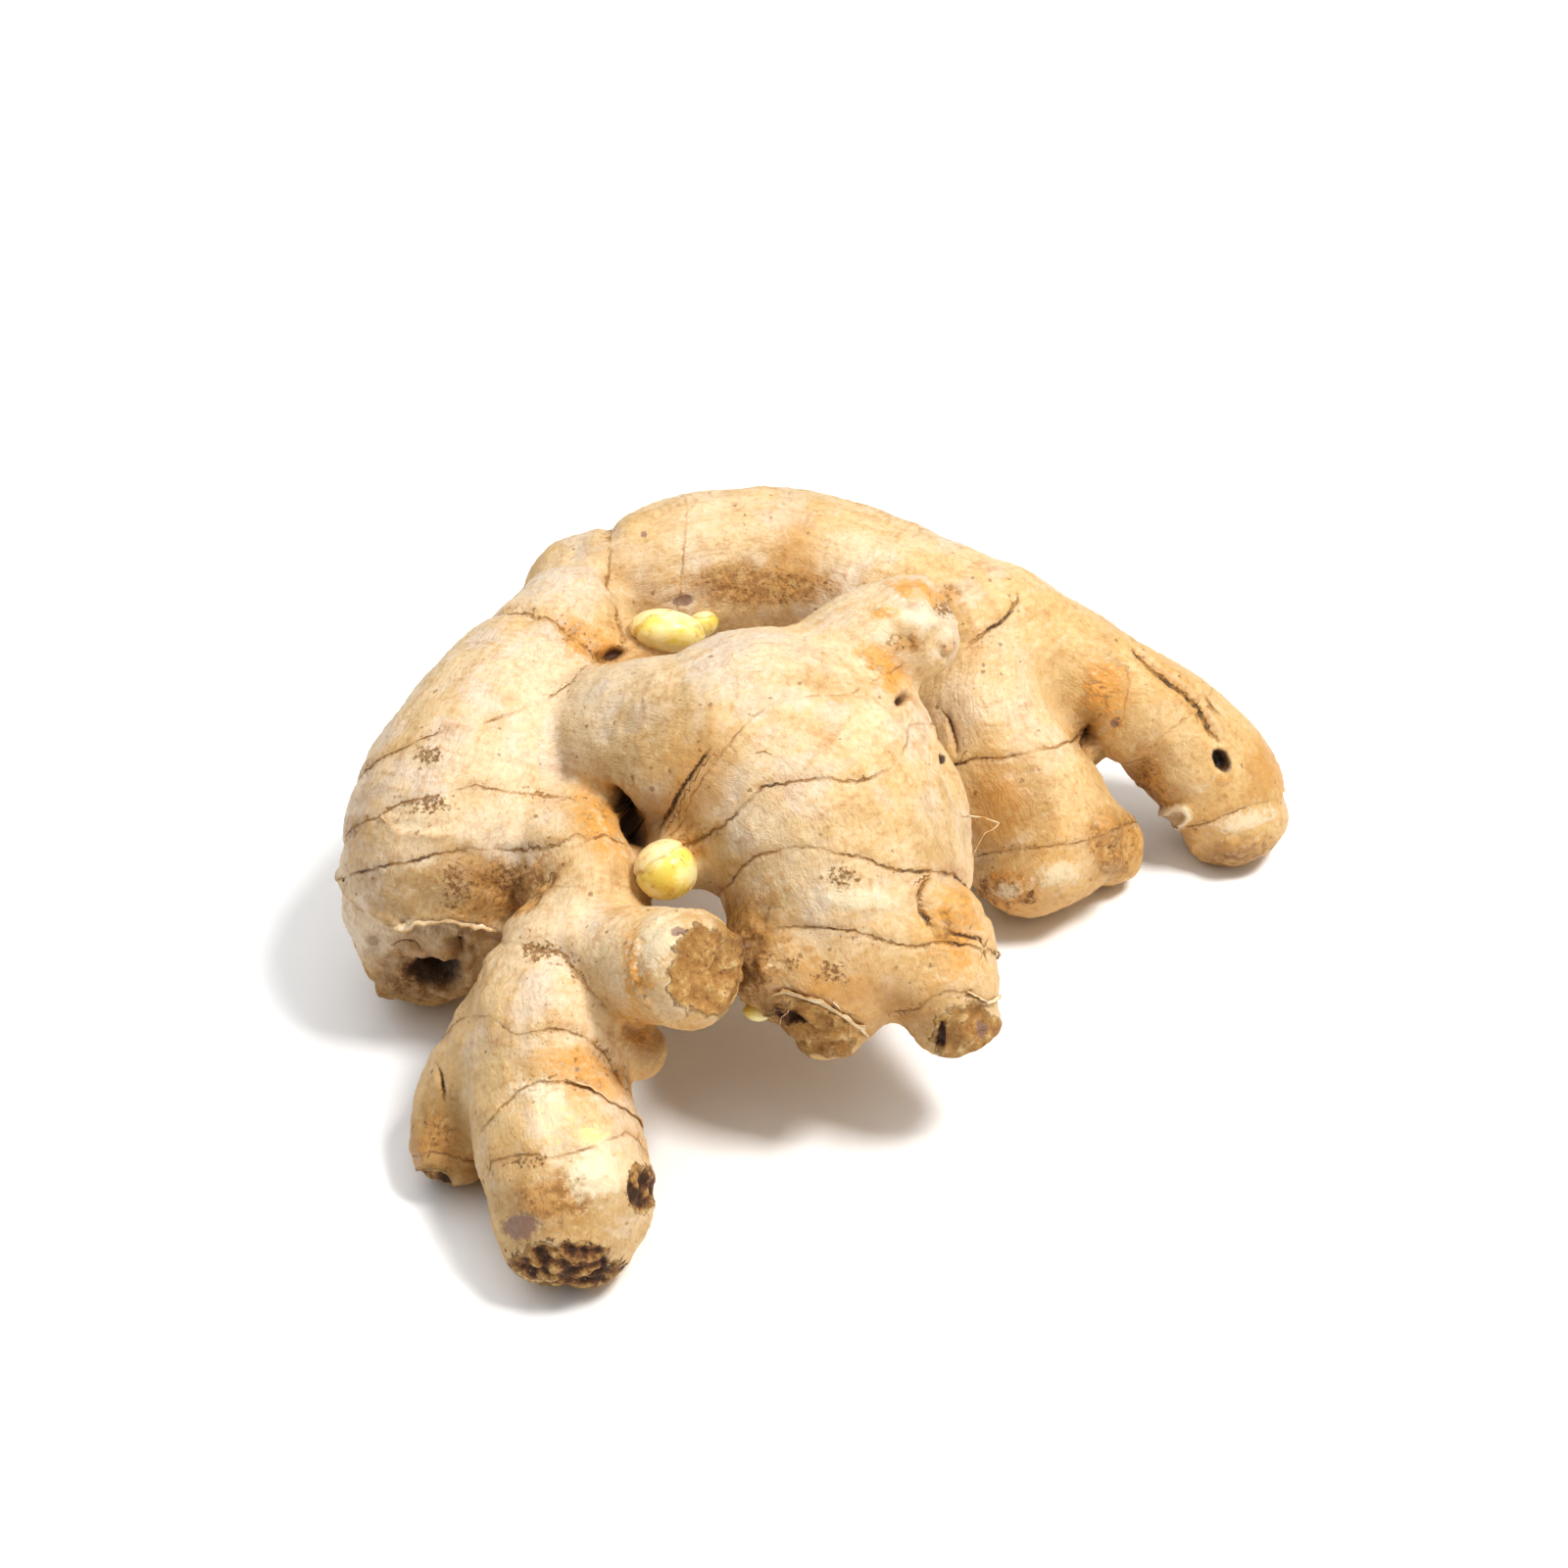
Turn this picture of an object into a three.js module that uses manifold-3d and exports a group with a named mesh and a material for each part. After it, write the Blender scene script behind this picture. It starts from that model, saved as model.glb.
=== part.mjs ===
// A ginger rhizome: one grown piece that lies on the tips of its fingers.
// Millimetres, +Z up. The origin is at table height, under the middle of the outline.

import * as THREE from "three";
import { ImprovedNoise } from "three/addons/math/ImprovedNoise.js";
import { triTable } from "three/addons/objects/MarchingCubes.js";
import Module from "manifold-3d";

// Driving dimensions
const CELL = 3.6; // spacing of the lattice on which the skin is traced
const MARGIN = 8; // empty room kept round the fingers
const STEP = 1.6; // spacing of the round sections along a finger
const FILLET = 4; // how far one finger's skin runs into the next
const BLUNT = 2; // rounding of the rim where a finger's end is flat
const LUMP = 0.8; // height of the slow swellings
const LUMP_SIZE = 16; // their size
const REST_CUT = 0.8; // depth of the flats on which the rhizome rests
const RELAX_ROUNDS = 5; // passes that even out the triangles

// Each finger is a spine of round sections, [x, y, z, radius], from its root to its tip.
// flat is how far past the last section's centre the end is broken off flat.
const FINGERS = {
  left_body: {
    spine: [
      [-43, 50, 43, 11], [-47, 40, 42, 13], [-56, 20, 38, 17], [-60, 8, 31, 19],
      [-63, 4, 22, 15.8], [-66, 5, 12, 11],
    ],
    flat: 9,
  },
  left_heel: { spine: [[-60, 14, 26, 17], [-58, 20, 15.2, 15]] },
  rear_arch: {
    spine: [
      [-41, 64, 40, 10.5], [-32, 64, 41, 12.7], [-21, 68, 42, 13.8], [-6, 70, 42, 13.6],
      [8, 65, 41, 13.4], [19, 59, 40, 13], [30, 54, 38, 12.6],
    ],
  },
  right_lobe: {
    spine: [[30, 54, 38, 12.6], [28, 41.5, 30.5, 13], [34, 33, 21, 14.2], [38, 28, 15.2, 14.2]],
    flat: 13,
  },
  right_heel: { spine: [[30, 44, 24, 12], [32, 42, 15, 14.6]] },
  right_nub: { spine: [[43, 34, 13, 8.5], [50, 33, 8.5, 7.4]] },
  right_finger: {
    spine: [[36, 54, 37, 10.5], [51, 48, 31, 10], [62, 46, 23, 10.8], [70, 43, 15, 11], [73, 41, 9.8, 10]],
    flat: 9,
  },
  middle_neck: {
    spine: [
      [-52, 17, 37, 14], [-45, 20, 40, 13], [-37, 21, 43, 12.5], [-28, 15, 47, 13.8], [-18, 11, 49, 16.5],
      [-8, 12, 49.5, 18.9], [1, 8.5, 47.5, 18.3],
    ],
  },
  crown: { spine: [[-44, 44, 36, 12], [-39, 28, 30, 15], [-36, 18, 25, 12]] },
  middle_lobe: { spine: [[-9, 5, 48, 17.6], [-1, 0, 45, 20], [3, -6, 39, 20.4], [5, -12, 34, 18.1]] },
  middle_flank: { spine: [[14, 9, 46, 7], [16.5, 3, 43, 7], [18, -5, 37, 6.6]] },
  middle_nub_left: {
    spine: [[-4, -19, 33, 11.3], [0, -24, 30, 9.4], [2, -26, 25, 7.2]],
    flat: 5,
  },
  middle_nub_right: {
    spine: [[16, -19, 34, 11], [19, -24, 30, 9], [21, -26, 25, 7.3]],
    flat: 5,
  },
  broken_stub: {
    spine: [[-1, 15, 51, 13.5], [7, 24, 58.5, 10.5], [14, 26, 62, 8.8]],
    flat: 7.5,
  },
  front_finger: {
    spine: [
      [-44, 8, 33, 11.8], [-39, -3, 37, 10.6], [-36, -11, 37, 9], [-39.5, -20, 31, 11.7], [-43, -28, 25, 13.6],
      [-43, -37, 20, 12.8], [-41, -45, 17, 13], [-39, -52, 13.6, 13.3], [-39, -56, 11.5, 11.5],
    ],
    flat: 10,
  },
  front_stub_left: {
    spine: [[-50.3, -28.5, 20, 9.7], [-57, -32, 13, 7.5], [-59, -38, 7, 6.7]],
    flat: 5,
  },
  front_stub_right: {
    spine: [[-37, -19, 31, 10], [-29, -26, 37, 9], [-21, -33.5, 43, 9]],
    flat: 5,
  },
  front_knob: { spine: [[-34, -28, 24, 7], [-29, -29, 21, 4.6]] },
  bud_back: { spine: [[-38, 44, 40, 10], [-30, 42, 45, 6.5], [-24, 42, 47.5, 4.8]] },
  bud_front: { spine: [[-17, -2, 42, 9], [-25, -10, 42, 5]] },
};

const noise = new ImprovedNoise();

// One finger as closely spaced round sections [x, y, z, radius]
function sections({ spine }) {
  const places = spine.map(([x, y, z]) => new THREE.Vector3(x, y, z));
  const curve = new THREE.CatmullRomCurve3(places, false, "centripetal");
  const thickness = new THREE.SplineCurve(
    spine.map(([, , , radius], i) => new THREE.Vector2(i, radius)),
  );
  const length = curve.getLength();
  const count = Math.ceil(length / STEP);
  const made = [];
  for (let i = 0; i <= count; i++) {
    const share = i / count;
    const { x, y, z } = curve.getPoint(share);
    made.push([x, y, z, thickness.getPoint(share).y]);
  }
  return made;
}

// The broken end of a finger as a plane: a point on it and its outward direction
function brokenEnd({ spine, flat }) {
  if (!flat) return null;
  const [tip, before] = spine.slice(-2).reverse();
  const out = new THREE.Vector3(tip[0] - before[0], tip[1] - before[1], tip[2] - before[2]).normalize();
  const point = new THREE.Vector3(...tip.slice(0, 3)).addScaledVector(out, flat);
  return { out, offset: out.dot(point) };
}

const fingers = Object.values(FINGERS).map((finger) => ({
  sections: sections(finger),
  end: brokenEnd(finger),
}));

// Joins two distances with a rounded valley of the given size
function blend(a, b, size) {
  const near = Math.max(size - Math.abs(a - b), 0) / size;
  return Math.min(a, b) - (near * near * size) / 4;
}

// Distance from a point to one finger's skin, negative inside
function toFinger({ sections, end }, x, y, z) {
  let best = Infinity;
  for (const [cx, cy, cz, radius] of sections) {
    const d = Math.hypot(x - cx, y - cy, z - cz) - radius;
    if (d < best) best = d;
  }
  if (end) {
    const past = end.out.x * x + end.out.y * y + end.out.z * z - end.offset;
    best = -blend(-best, -past, BLUNT);
  }
  return best;
}

// Distance from a point to the whole rhizome's skin, negative inside
function toSkin(x, y, z) {
  let d = Infinity;
  for (const finger of fingers) {
    const own = toFinger(finger, x, y, z);
    d = d === Infinity ? own : blend(d, own, FILLET);
  }
  return d + LUMP * noise.noise(x / LUMP_SIZE + 7.3, y / LUMP_SIZE + 2.1, z / LUMP_SIZE + 4.6);
}

// Traces the surface on which toSkin is zero, as points and triangles that share them
function traceSkin() {
  const all = fingers.flatMap((finger) => finger.sections);
  const low = [0, 1, 2].map((a) => Math.min(...all.map((s) => s[a] - s[3])) - MARGIN);
  const high = [0, 1, 2].map((a) => Math.max(...all.map((s) => s[a] + s[3])) + MARGIN);
  const [nx, ny, nz] = [0, 1, 2].map((a) => Math.ceil((high[a] - low[a]) / CELL) + 1);
  const index = (i, j, k) => i + nx * (j + ny * k);
  const place = (n) => [
    low[0] + CELL * (n % nx),
    low[1] + CELL * (Math.floor(n / nx) % ny),
    low[2] + CELL * Math.floor(n / (nx * ny)),
  ];
  const field = new Float64Array(nx * ny * nz);
  for (let n = 0; n < field.length; n++) {
    const d = toSkin(...place(n));
    field[n] = Math.sign(d || 1) * Math.max(Math.abs(d), 0.12 * CELL);
  }

  const corner = [
    [0, 0, 0], [1, 0, 0], [1, 1, 0], [0, 1, 0], [0, 0, 1], [1, 0, 1], [1, 1, 1], [0, 1, 1],
  ];
  const edge = [
    [0, 1], [1, 2], [2, 3], [3, 0], [4, 5], [5, 6], [6, 7], [7, 4], [0, 4], [1, 5], [2, 6], [3, 7],
  ];
  const points = [];
  const triangles = [];
  const seen = new Map();
  const pointOn = (a, b) => {
    const key = Math.min(a, b) * field.length + Math.max(a, b);
    if (!seen.has(key)) {
      const [p, q] = [place(Math.min(a, b)), place(Math.max(a, b))];
      const [fp, fq] = [field[Math.min(a, b)], field[Math.max(a, b)]];
      seen.set(key, points.length);
      points.push(p.map((v, axis) => v + ((q[axis] - v) * fp) / (fp - fq)));
    }
    return seen.get(key);
  };
  for (let k = 0; k < nz - 1; k++) {
    for (let j = 0; j < ny - 1; j++) {
      for (let i = 0; i < nx - 1; i++) {
        const nodes = corner.map(([x, y, z]) => index(i + x, j + y, k + z));
        const inside = nodes.reduce((bits, n, b) => bits | (field[n] < 0 ? 1 << b : 0), 0);
        for (let t = inside * 16; triTable[t] !== -1 && t < inside * 16 + 15; t += 3) {
          const [a, b, c] = [0, 1, 2].map((o) => edge[triTable[t + o]].map((e) => nodes[e]));
          triangles.push([pointOn(...a), pointOn(...c), pointOn(...b)]);
        }
      }
    }
  }
  return { points, triangles };
}

// Moves a point along the slope of toSkin until it lies on the skin
function settle([x, y, z]) {
  const H = 0.2;
  const d = toSkin(x, y, z);
  const slope = [
    toSkin(x + H, y, z) - toSkin(x - H, y, z),
    toSkin(x, y + H, z) - toSkin(x, y - H, z),
    toSkin(x, y, z + H) - toSkin(x, y, z - H),
  ].map((v) => v / (2 * H));
  const steep = Math.max(slope.reduce((sum, v) => sum + v * v, 0), 0.25);
  return [x, y, z].map((v, axis) => v - (d * slope[axis]) / steep);
}

// Evens out the triangles while the points stay on the skin
function relax({ points, triangles }) {
  const around = points.map(() => new Set());
  for (const [a, b, c] of triangles) {
    around[a].add(b).add(c);
    around[b].add(a).add(c);
    around[c].add(a).add(b);
  }
  let current = points;
  for (let round = 0; round < RELAX_ROUNDS; round++) {
    current = current.map((point, i) => {
      const near = [...around[i]];
      const total = (axis) => near.reduce((sum, n) => sum + current[n][axis], 0);
      return settle(point.map((v, axis) => (v + total(axis) / near.length) / 2));
    });
  }
  return { points: current, triangles };
}

// Turns points and triangles into a solid, and back
const wasm = await Module();
wasm.setup();

function solidOf(points, triangles) {
  return new wasm.Manifold(
    new wasm.Mesh({
      numProp: 3,
      vertProperties: Float32Array.from(points.flat()),
      triVerts: Uint32Array.from(triangles.flat()),
    }),
  );
}

function boxSolid(width, depth, height, centre) {
  const box = new THREE.BoxGeometry(width, depth, height).translate(...centre);
  const corners = new Map();
  const points = [];
  const at = box.getAttribute("position");
  const own = [...Array(at.count).keys()].map((i) => {
    const p = [at.getX(i), at.getY(i), at.getZ(i)];
    const key = p.join();
    if (!corners.has(key)) corners.set(key, points.push(p) - 1);
    return corners.get(key);
  });
  const triangles = [];
  for (let i = 0; i < box.index.count; i += 3) {
    triangles.push([0, 1, 2].map((o) => own[box.index.getX(i + o)]));
  }
  return solidOf(points, triangles);
}

function geometryOf(solid) {
  const { numProp, vertProperties, triVerts } = solid.getMesh();
  const positions = new Float32Array((vertProperties.length / numProp) * 3);
  for (let i = 0; i < positions.length / 3; i++) {
    positions.set(vertProperties.subarray(i * numProp, i * numProp + 3), i * 3);
  }
  const geometry = new THREE.BufferGeometry();
  geometry.setAttribute("position", new THREE.BufferAttribute(positions, 3));
  geometry.setIndex(new THREE.BufferAttribute(triVerts, 1));
  geometry.computeVertexNormals();
  return geometry;
}

// The rhizome with small flats where it rests, its origin under the middle of its outline
const skin = relax(traceSkin());
const grown = solidOf(skin.points, skin.triangles);
const { min, max } = grown.boundingBox();
const table = min[2] + REST_CUT;
const room = boxSolid(400, 400, 100, [0, 0, table - 50]);
const rested = grown.subtract(room);
const geometry = geometryOf(rested);
geometry.translate(-(min[0] + max[0]) / 2, -(min[1] + max[1]) / 2, -table);

const material = new THREE.MeshStandardMaterial({ color: 0xe8c894, roughness: 0.62, metalness: 0 });
const rhizome = new THREE.Mesh(geometry, material);
rhizome.name = "ginger_rhizome";

const ginger = new THREE.Group();
ginger.add(rhizome);
export default ginger;
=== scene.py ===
"""A ginger rhizome's looks, laid out as a Blender add-on and run as a script.

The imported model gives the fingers' rough shape. The skin is grown over it with its rings,
scars and torn ends, and buds, papery scales and root hairs are set on it.
Lengths are in millimetres while a shape is worked out, and in metres once it is a mesh.
"""

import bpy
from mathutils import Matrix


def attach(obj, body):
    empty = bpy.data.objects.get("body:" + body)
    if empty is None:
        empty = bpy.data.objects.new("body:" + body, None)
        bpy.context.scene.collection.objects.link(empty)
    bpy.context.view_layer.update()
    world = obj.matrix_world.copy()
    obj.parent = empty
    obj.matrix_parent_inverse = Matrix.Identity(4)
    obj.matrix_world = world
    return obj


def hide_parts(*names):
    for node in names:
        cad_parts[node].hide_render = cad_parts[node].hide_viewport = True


bl_info = {
    "name": "Ginger root",
    "version": (1, 0, 0),
    "blender": (4, 5, 0),
    "location": "3D View > Sidebar > Ginger",
    "description": "Grows a ginger rhizome's skin, buds, scales and root hairs over its CAD shape",
    "category": "Mesh",
}

import bmesh
import bpy
import numpy as np
from mathutils import Matrix, Vector
from mathutils.bvhtree import BVHTree
from mathutils.kdtree import KDTree

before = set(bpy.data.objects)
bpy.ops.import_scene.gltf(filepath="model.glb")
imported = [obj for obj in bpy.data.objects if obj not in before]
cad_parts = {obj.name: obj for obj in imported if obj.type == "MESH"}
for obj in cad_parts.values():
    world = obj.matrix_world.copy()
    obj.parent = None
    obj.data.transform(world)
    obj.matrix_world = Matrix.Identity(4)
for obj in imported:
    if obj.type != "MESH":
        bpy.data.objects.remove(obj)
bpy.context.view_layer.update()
NODE = "ginger_rhizome"
BODY = "root"
MM = 0.001

# The most triangles that the skin may have
MOST_TRIANGLES = 195000

# The photograph's camera, in the fingers' own coordinates, millimetres and pixels of 1600
PICTURE = 1600
FOCUS = 3350.0
ELEVATION = np.radians(41.0)
AIM = np.array((-6.0, 59.0, 0.0))
AIM_DISTANCE = 600.0
PIXELS_PER_MM = 5.3

# From the fingers' own coordinates to the part's origin
TO_ORIGIN = np.array((-1.785, -8.448, -0.749))

AHEAD = np.array((0.0, np.cos(ELEVATION), -np.sin(ELEVATION)))
RIGHT = np.array((1.0, 0.0, 0.0))
UP = np.array((0.0, np.sin(ELEVATION), np.cos(ELEVATION)))
EYE = AIM - AIM_DISTANCE * AHEAD + TO_ORIGIN

# A path over the picture is followed in steps of so many pixels. Where two neighbours on it lie
# further apart than this, in millimetres, it has left one finger for another
SIGHT_STEP = 3.0
JUMP = 3.5

# How strongly a ring is drawn on the side that the photograph doesn't show
HIDDEN_STRENGTH = 1.25

# The lowest point of the skin over the table, and half the table's width, in millimetres
CLEAR_OF_TABLE = 0.02
TABLE_HALF_WIDTH = 2500.0

# Each finger's spine of round sections, (x, y, z, radius), from its root to its tip, and how far
# past the last section its end is broken off flat
FINGERS = {
    "left_body": (
        ((-43, 50, 43, 11), (-47, 40, 42, 13), (-56, 20, 38, 17), (-60, 8, 31, 19),
         (-63, 4, 22, 15.8), (-66, 5, 12, 11)), 9),
    "left_heel": (((-60, 14, 26, 17), (-58, 20, 15.2, 15)), None),
    "rear_arch": (
        ((-41, 64, 40, 10.5), (-32, 64, 41, 12.7), (-21, 68, 42, 13.8), (-6, 70, 42, 13.6),
         (8, 65, 41, 13.4), (19, 59, 40, 13), (30, 54, 38, 12.6)), None),
    "right_lobe": (
        ((30, 54, 38, 12.6), (28, 41.5, 30.5, 13), (34, 33, 21, 14.2), (38, 28, 15.2, 14.2)), 13),
    "right_heel": (((30, 44, 24, 12), (32, 42, 15, 14.6)), None),
    "right_nub": (((43, 34, 13, 8.5), (50, 33, 8.5, 7.4)), None),
    "right_finger": (
        ((36, 54, 37, 10.5), (51, 48, 31, 10), (62, 46, 23, 10.8), (70, 43, 15, 11),
         (73, 41, 9.8, 10)), 9),
    "middle_neck": (
        ((-52, 17, 37, 14), (-45, 20, 40, 13), (-37, 21, 43, 12.5), (-28, 15, 47, 13.8),
         (-18, 11, 49, 16.5), (-8, 12, 49.5, 18.9), (1, 8.5, 47.5, 18.3)), None),
    "crown": (((-44, 44, 36, 12), (-39, 28, 30, 15), (-36, 18, 25, 12)), None),
    "middle_lobe": (
        ((-9, 5, 48, 17.6), (-1, 0, 45, 20), (3, -6, 39, 20.4), (5, -12, 34, 18.1)), None),
    "middle_nub_left": (((-4, -19, 33, 11.3), (0, -24, 30, 9.4), (2, -26, 25, 7.2)), 5),
    "middle_nub_right": (((16, -19, 34, 11), (19, -24, 30, 9), (21, -26, 25, 7.3)), 5),
    "middle_flank": (((14, 9, 46, 7), (16.5, 3, 43, 7), (18, -5, 37, 6.6)), None),
    "broken_stub": (((-1, 15, 51, 13.5), (7, 24, 58.5, 10.5), (14, 26, 62, 8.8)), 7.5),
    "front_finger": (
        ((-44, 8, 33, 11.8), (-39, -3, 37, 10.6), (-36, -11, 37, 9), (-39.5, -20, 31, 11.7),
         (-43, -28, 25, 13.6), (-43, -37, 20, 12.8), (-41, -45, 17, 13), (-39, -52, 13.6, 13.3),
         (-39, -56, 11.5, 11.5)), 10),
    "front_stub_left": (((-50.3, -28.5, 20, 9.7), (-57, -32, 13, 7.5), (-59, -38, 7, 6.7)), 5),
    "front_stub_right": (((-37, -19, 31, 10), (-29, -26, 37, 9), (-21, -33.5, 43, 9)), 5),
    "front_knob": (((-34, -28, 24, 7), (-29, -29, 21, 4.6)), None),
    "bud_back": (((-38, 44, 40, 10), (-30, 42, 45, 4.6), (-24, 42, 47.5, 3)), None),
    "bud_front": (((-17, -2, 42, 8), (-25, -10, 42, 3.4)), None),
}

# How each kind of line marks the skin: groove's depth and half width, the step up on the side
# of the root, how dark it is, how much it stains, how far it breaks up along its length, and how
# wide its dark middle is drawn
LINE_KINDS = {
    "ring": dict(depth=0.26, width=0.6, step=0.42, dark=0.62, stain=0.6, broken=0.75, drawn=1.0),
    "soft": dict(depth=0.18, width=0.7, step=0.42, dark=0.42, stain=0.8, broken=0.85, drawn=0.85),
    "faint": dict(depth=0.08, width=0.6, step=0.2, dark=0.25, stain=0.3, broken=1.0, drawn=0.9),
    "crease": dict(depth=0.9, width=1.5, step=0.3, dark=0.4, stain=1.0, broken=0.7, drawn=1.2),
    "fold": dict(depth=1.1, width=1.0, step=0.2, dark=0.95, stain=1.0, broken=0.1, drawn=2.2),
    "split": dict(depth=1.3, width=0.9, step=-0.7, dark=1.0, stain=0.5, broken=0.1, drawn=1.4),
    "crack": dict(depth=0.7, width=0.6, step=0.1, dark=1.0, stain=0.6, broken=0.25, drawn=1.2),
    "ridge": dict(depth=-0.7, width=0.7, step=0.3, dark=0.0, stain=0.4, broken=0.3, drawn=1.0),
}

# Growth rings, creases and cracks as the photograph shows them: the finger, the kind, whether it
# goes on round the hidden side, and its path in the photograph's pixels
LINES = {
    "left_neck_crease": ("left_body", "crease", True, (
        (540, 620), (545, 628), (560, 625), (568, 630), (600, 660), (625, 678))),
    "left_upper_ring": ("left_body", "soft", True, (
        (592, 682), (580, 695), (560, 712), (540, 722), (515, 730), (490, 738), (470, 740),
        (430, 752), (415, 760))),
    "left_middle_ring": ("left_body", "soft", True, (
        (380, 835), (395, 826), (410, 818), (450, 810), (485, 801), (520, 808), (545, 810),
        (580, 812))),
    "left_lower_ring": ("left_body", "ring", True, (
        (372, 888), (395, 884), (415, 880), (435, 875), (460, 870), (485, 865), (500, 868),
        (545, 868), (565, 862), (587, 850), (597, 856), (617, 851), (630, 858))),
    "left_peeled_ridge": ("left_body", "ridge", False, (
        (390, 832), (398, 843), (405, 850), (440, 853), (475, 849))),
    "left_end_frill": ("left_body", "ridge", True, (
        (410, 945), (430, 938), (460, 935), (490, 942), (512, 950))),
    "left_end_fold": ("left_body", "crack", False, (
        (394, 968), (404, 966), (414, 969), (424, 974), (438, 980))),
    "left_end_groove": ("left_body", "crack", False, ((429, 946), (431, 956), (433, 968))),
    "left_end_deep_groove": ("left_body", "crack", False, (
        (466, 948), (470, 962), (473, 976), (475, 988))),
    "left_end_red_ridge": ("left_body", "ridge", False, (
        (473, 946), (477, 962), (481, 980), (486, 998))),
    "rear_first_ring": ("rear_arch", "crease", True, (
        (620, 540), (621, 568), (622, 595), (632, 620), (635, 655))),
    "rear_second_ring": ("rear_arch", "faint", True, (
        (700, 512), (700, 525), (697, 560), (695, 600), (692, 618))),
    "rear_fourth_ring": ("rear_arch", "faint", True, (
        (937, 540), (932, 548), (926, 558), (918, 570), (905, 583))),
    "rear_crack": ("rear_arch", "crack", False, (
        (1040, 600), (1038, 612), (1030, 625), (1020, 635), (1010, 640), (1000, 648), (983, 663),
        (965, 672))),
    "lobe_first_ring": ("right_lobe", "ring", True, (
        (990, 775), (1020, 773), (1040, 770), (1060, 764), (1080, 762), (1096, 754))),
    "lobe_second_ring": ("right_lobe", "soft", True, (
        (1012, 870), (1035, 868), (1065, 865), (1095, 862), (1115, 857), (1130, 848))),
    "finger_first_ring": ("right_finger", "faint", False, (
        (1150, 665), (1150, 680), (1152, 700), (1148, 720), (1145, 735), (1136, 752))),
    "finger_second_ring": ("right_finger", "faint", True, (
        (1172, 770), (1180, 755), (1195, 745), (1218, 728), (1236, 708))),
    "finger_third_ring": ("right_finger", "soft", True, (
        (1236, 840), (1248, 833), (1262, 829), (1276, 822), (1292, 818), (1303, 816),
        (1313, 810))),
    "finger_long_crack": ("right_finger", "split", False, (
        (1150, 655), (1165, 670), (1180, 685), (1195, 697), (1210, 707), (1225, 725),
        (1235, 745), (1252, 765))),
    "finger_branch_crack": ("right_finger", "crack", False, (
        (1225, 705), (1245, 728), (1255, 742))),
    "neck_top_ring": ("middle_neck", "faint", True, (
        (757, 744), (772, 728), (800, 715), (840, 709), (870, 707))),
    "neck_crack": ("middle_neck", "crack", False, (
        (728, 760), (712, 778), (705, 790), (697, 800), (690, 812), (685, 825), (675, 838),
        (670, 850), (672, 858))),
    "lobe_upper_ring": ("middle_lobe", "ring", True, (
        (735, 845), (757, 822), (778, 803), (805, 798), (838, 794), (860, 796), (880, 796),
        (895, 791), (908, 785), (918, 775), (925, 762), (930, 740))),
    "lobe_middle_ring": ("middle_lobe", "ring", True, (
        (740, 905), (755, 885), (775, 873), (800, 865), (830, 864), (850, 869), (870, 873),
        (890, 879), (915, 888), (945, 890), (975, 892))),
    "lobe_lower_ring": ("middle_lobe", "ring", True, (
        (745, 968), (760, 960), (775, 955), (785, 948), (800, 945), (850, 948), (870, 949),
        (885, 955), (900, 960), (935, 968), (960, 962))),
    "lobe_short_crack": ("middle_lobe", "crack", False, ((941, 920), (945, 928), (952, 936))),
    "lobe_side_crack": ("middle_lobe", "crack", False, (
        (958, 947), (975, 952), (1003, 958), (1010, 990))),
    "lobe_flank_line": ("middle_flank", "crack", False, (
        (957, 722), (966, 732), (971, 745), (975, 760), (977, 780))),
    "lobe_flank_ridge": ("middle_flank", "ridge", False, (
        (948, 728), (953, 750), (955, 780), (957, 810), (962, 840), (968, 870))),
    "lobe_knob_edge": ("middle_lobe", "crack", False, (
        (958, 892), (946, 900), (939, 914), (940, 930), (948, 943), (960, 950))),
    "left_nub_torn_line": ("middle_nub_left", "crack", False, (
        (785, 1015), (800, 1012), (840, 1025), (865, 1040), (888, 1058))),
    "right_nub_ring": ("middle_nub_right", "soft", True, (
        (938, 1030), (950, 1018), (968, 1012), (990, 1014), (1008, 1024))),
    "stub_top_line": ("broken_stub", "crack", False, ((921, 588), (937, 588), (953, 590))),
    "stub_dark_line": ("broken_stub", "crack", False, ((929, 637), (934, 643), (942, 646))),
    "stub_side_line": ("broken_stub", "crack", False, ((957, 630), (962, 638), (965, 647))),
    "left_front_fold": ("left_body", "fold", False, (
        (572, 888), (562, 898), (555, 906), (547, 916), (538, 928), (530, 937))),
    "front_top_crack": ("front_finger", "crack", False, ((560, 885), (551, 894), (545, 906))),
    "front_first_ring": ("front_finger", "faint", True, (
        (565, 905), (580, 904), (595, 905), (612, 903), (640, 905), (655, 910))),
    "front_second_ring": ("front_finger", "crease", True, (
        (512, 962), (540, 963), (556, 966), (570, 970), (585, 990), (600, 1010), (615, 1030),
        (632, 1048), (660, 1050))),
    "front_third_ring": ("front_finger", "soft", True, (
        (475, 1037), (498, 1037), (510, 1045), (525, 1057), (560, 1050), (580, 1052),
        (600, 1060), (618, 1075), (637, 1107))),
    "front_fourth_ring": ("front_finger", "soft", True, (
        (492, 1150), (510, 1130), (530, 1112), (550, 1103), (575, 1103), (600, 1108),
        (628, 1128))),
    "front_fifth_ring": ("front_finger", "soft", True, (
        (496, 1200), (500, 1185), (530, 1178), (548, 1178), (556, 1183), (600, 1172),
        (640, 1155), (655, 1165), (665, 1180))),
    "left_stub_crack": ("front_stub_left", "crack", False, (
        (443, 1080), (448, 1095), (452, 1120), (455, 1135))),
    "left_stub_ring": ("front_stub_left", "soft", True, (
        (424, 1180), (440, 1176), (458, 1178), (474, 1184))),
    "right_stub_ring": ("front_stub_right", "ridge", True, (
        (668, 1032), (650, 1010), (645, 985), (652, 960), (672, 942))),
}

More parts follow.
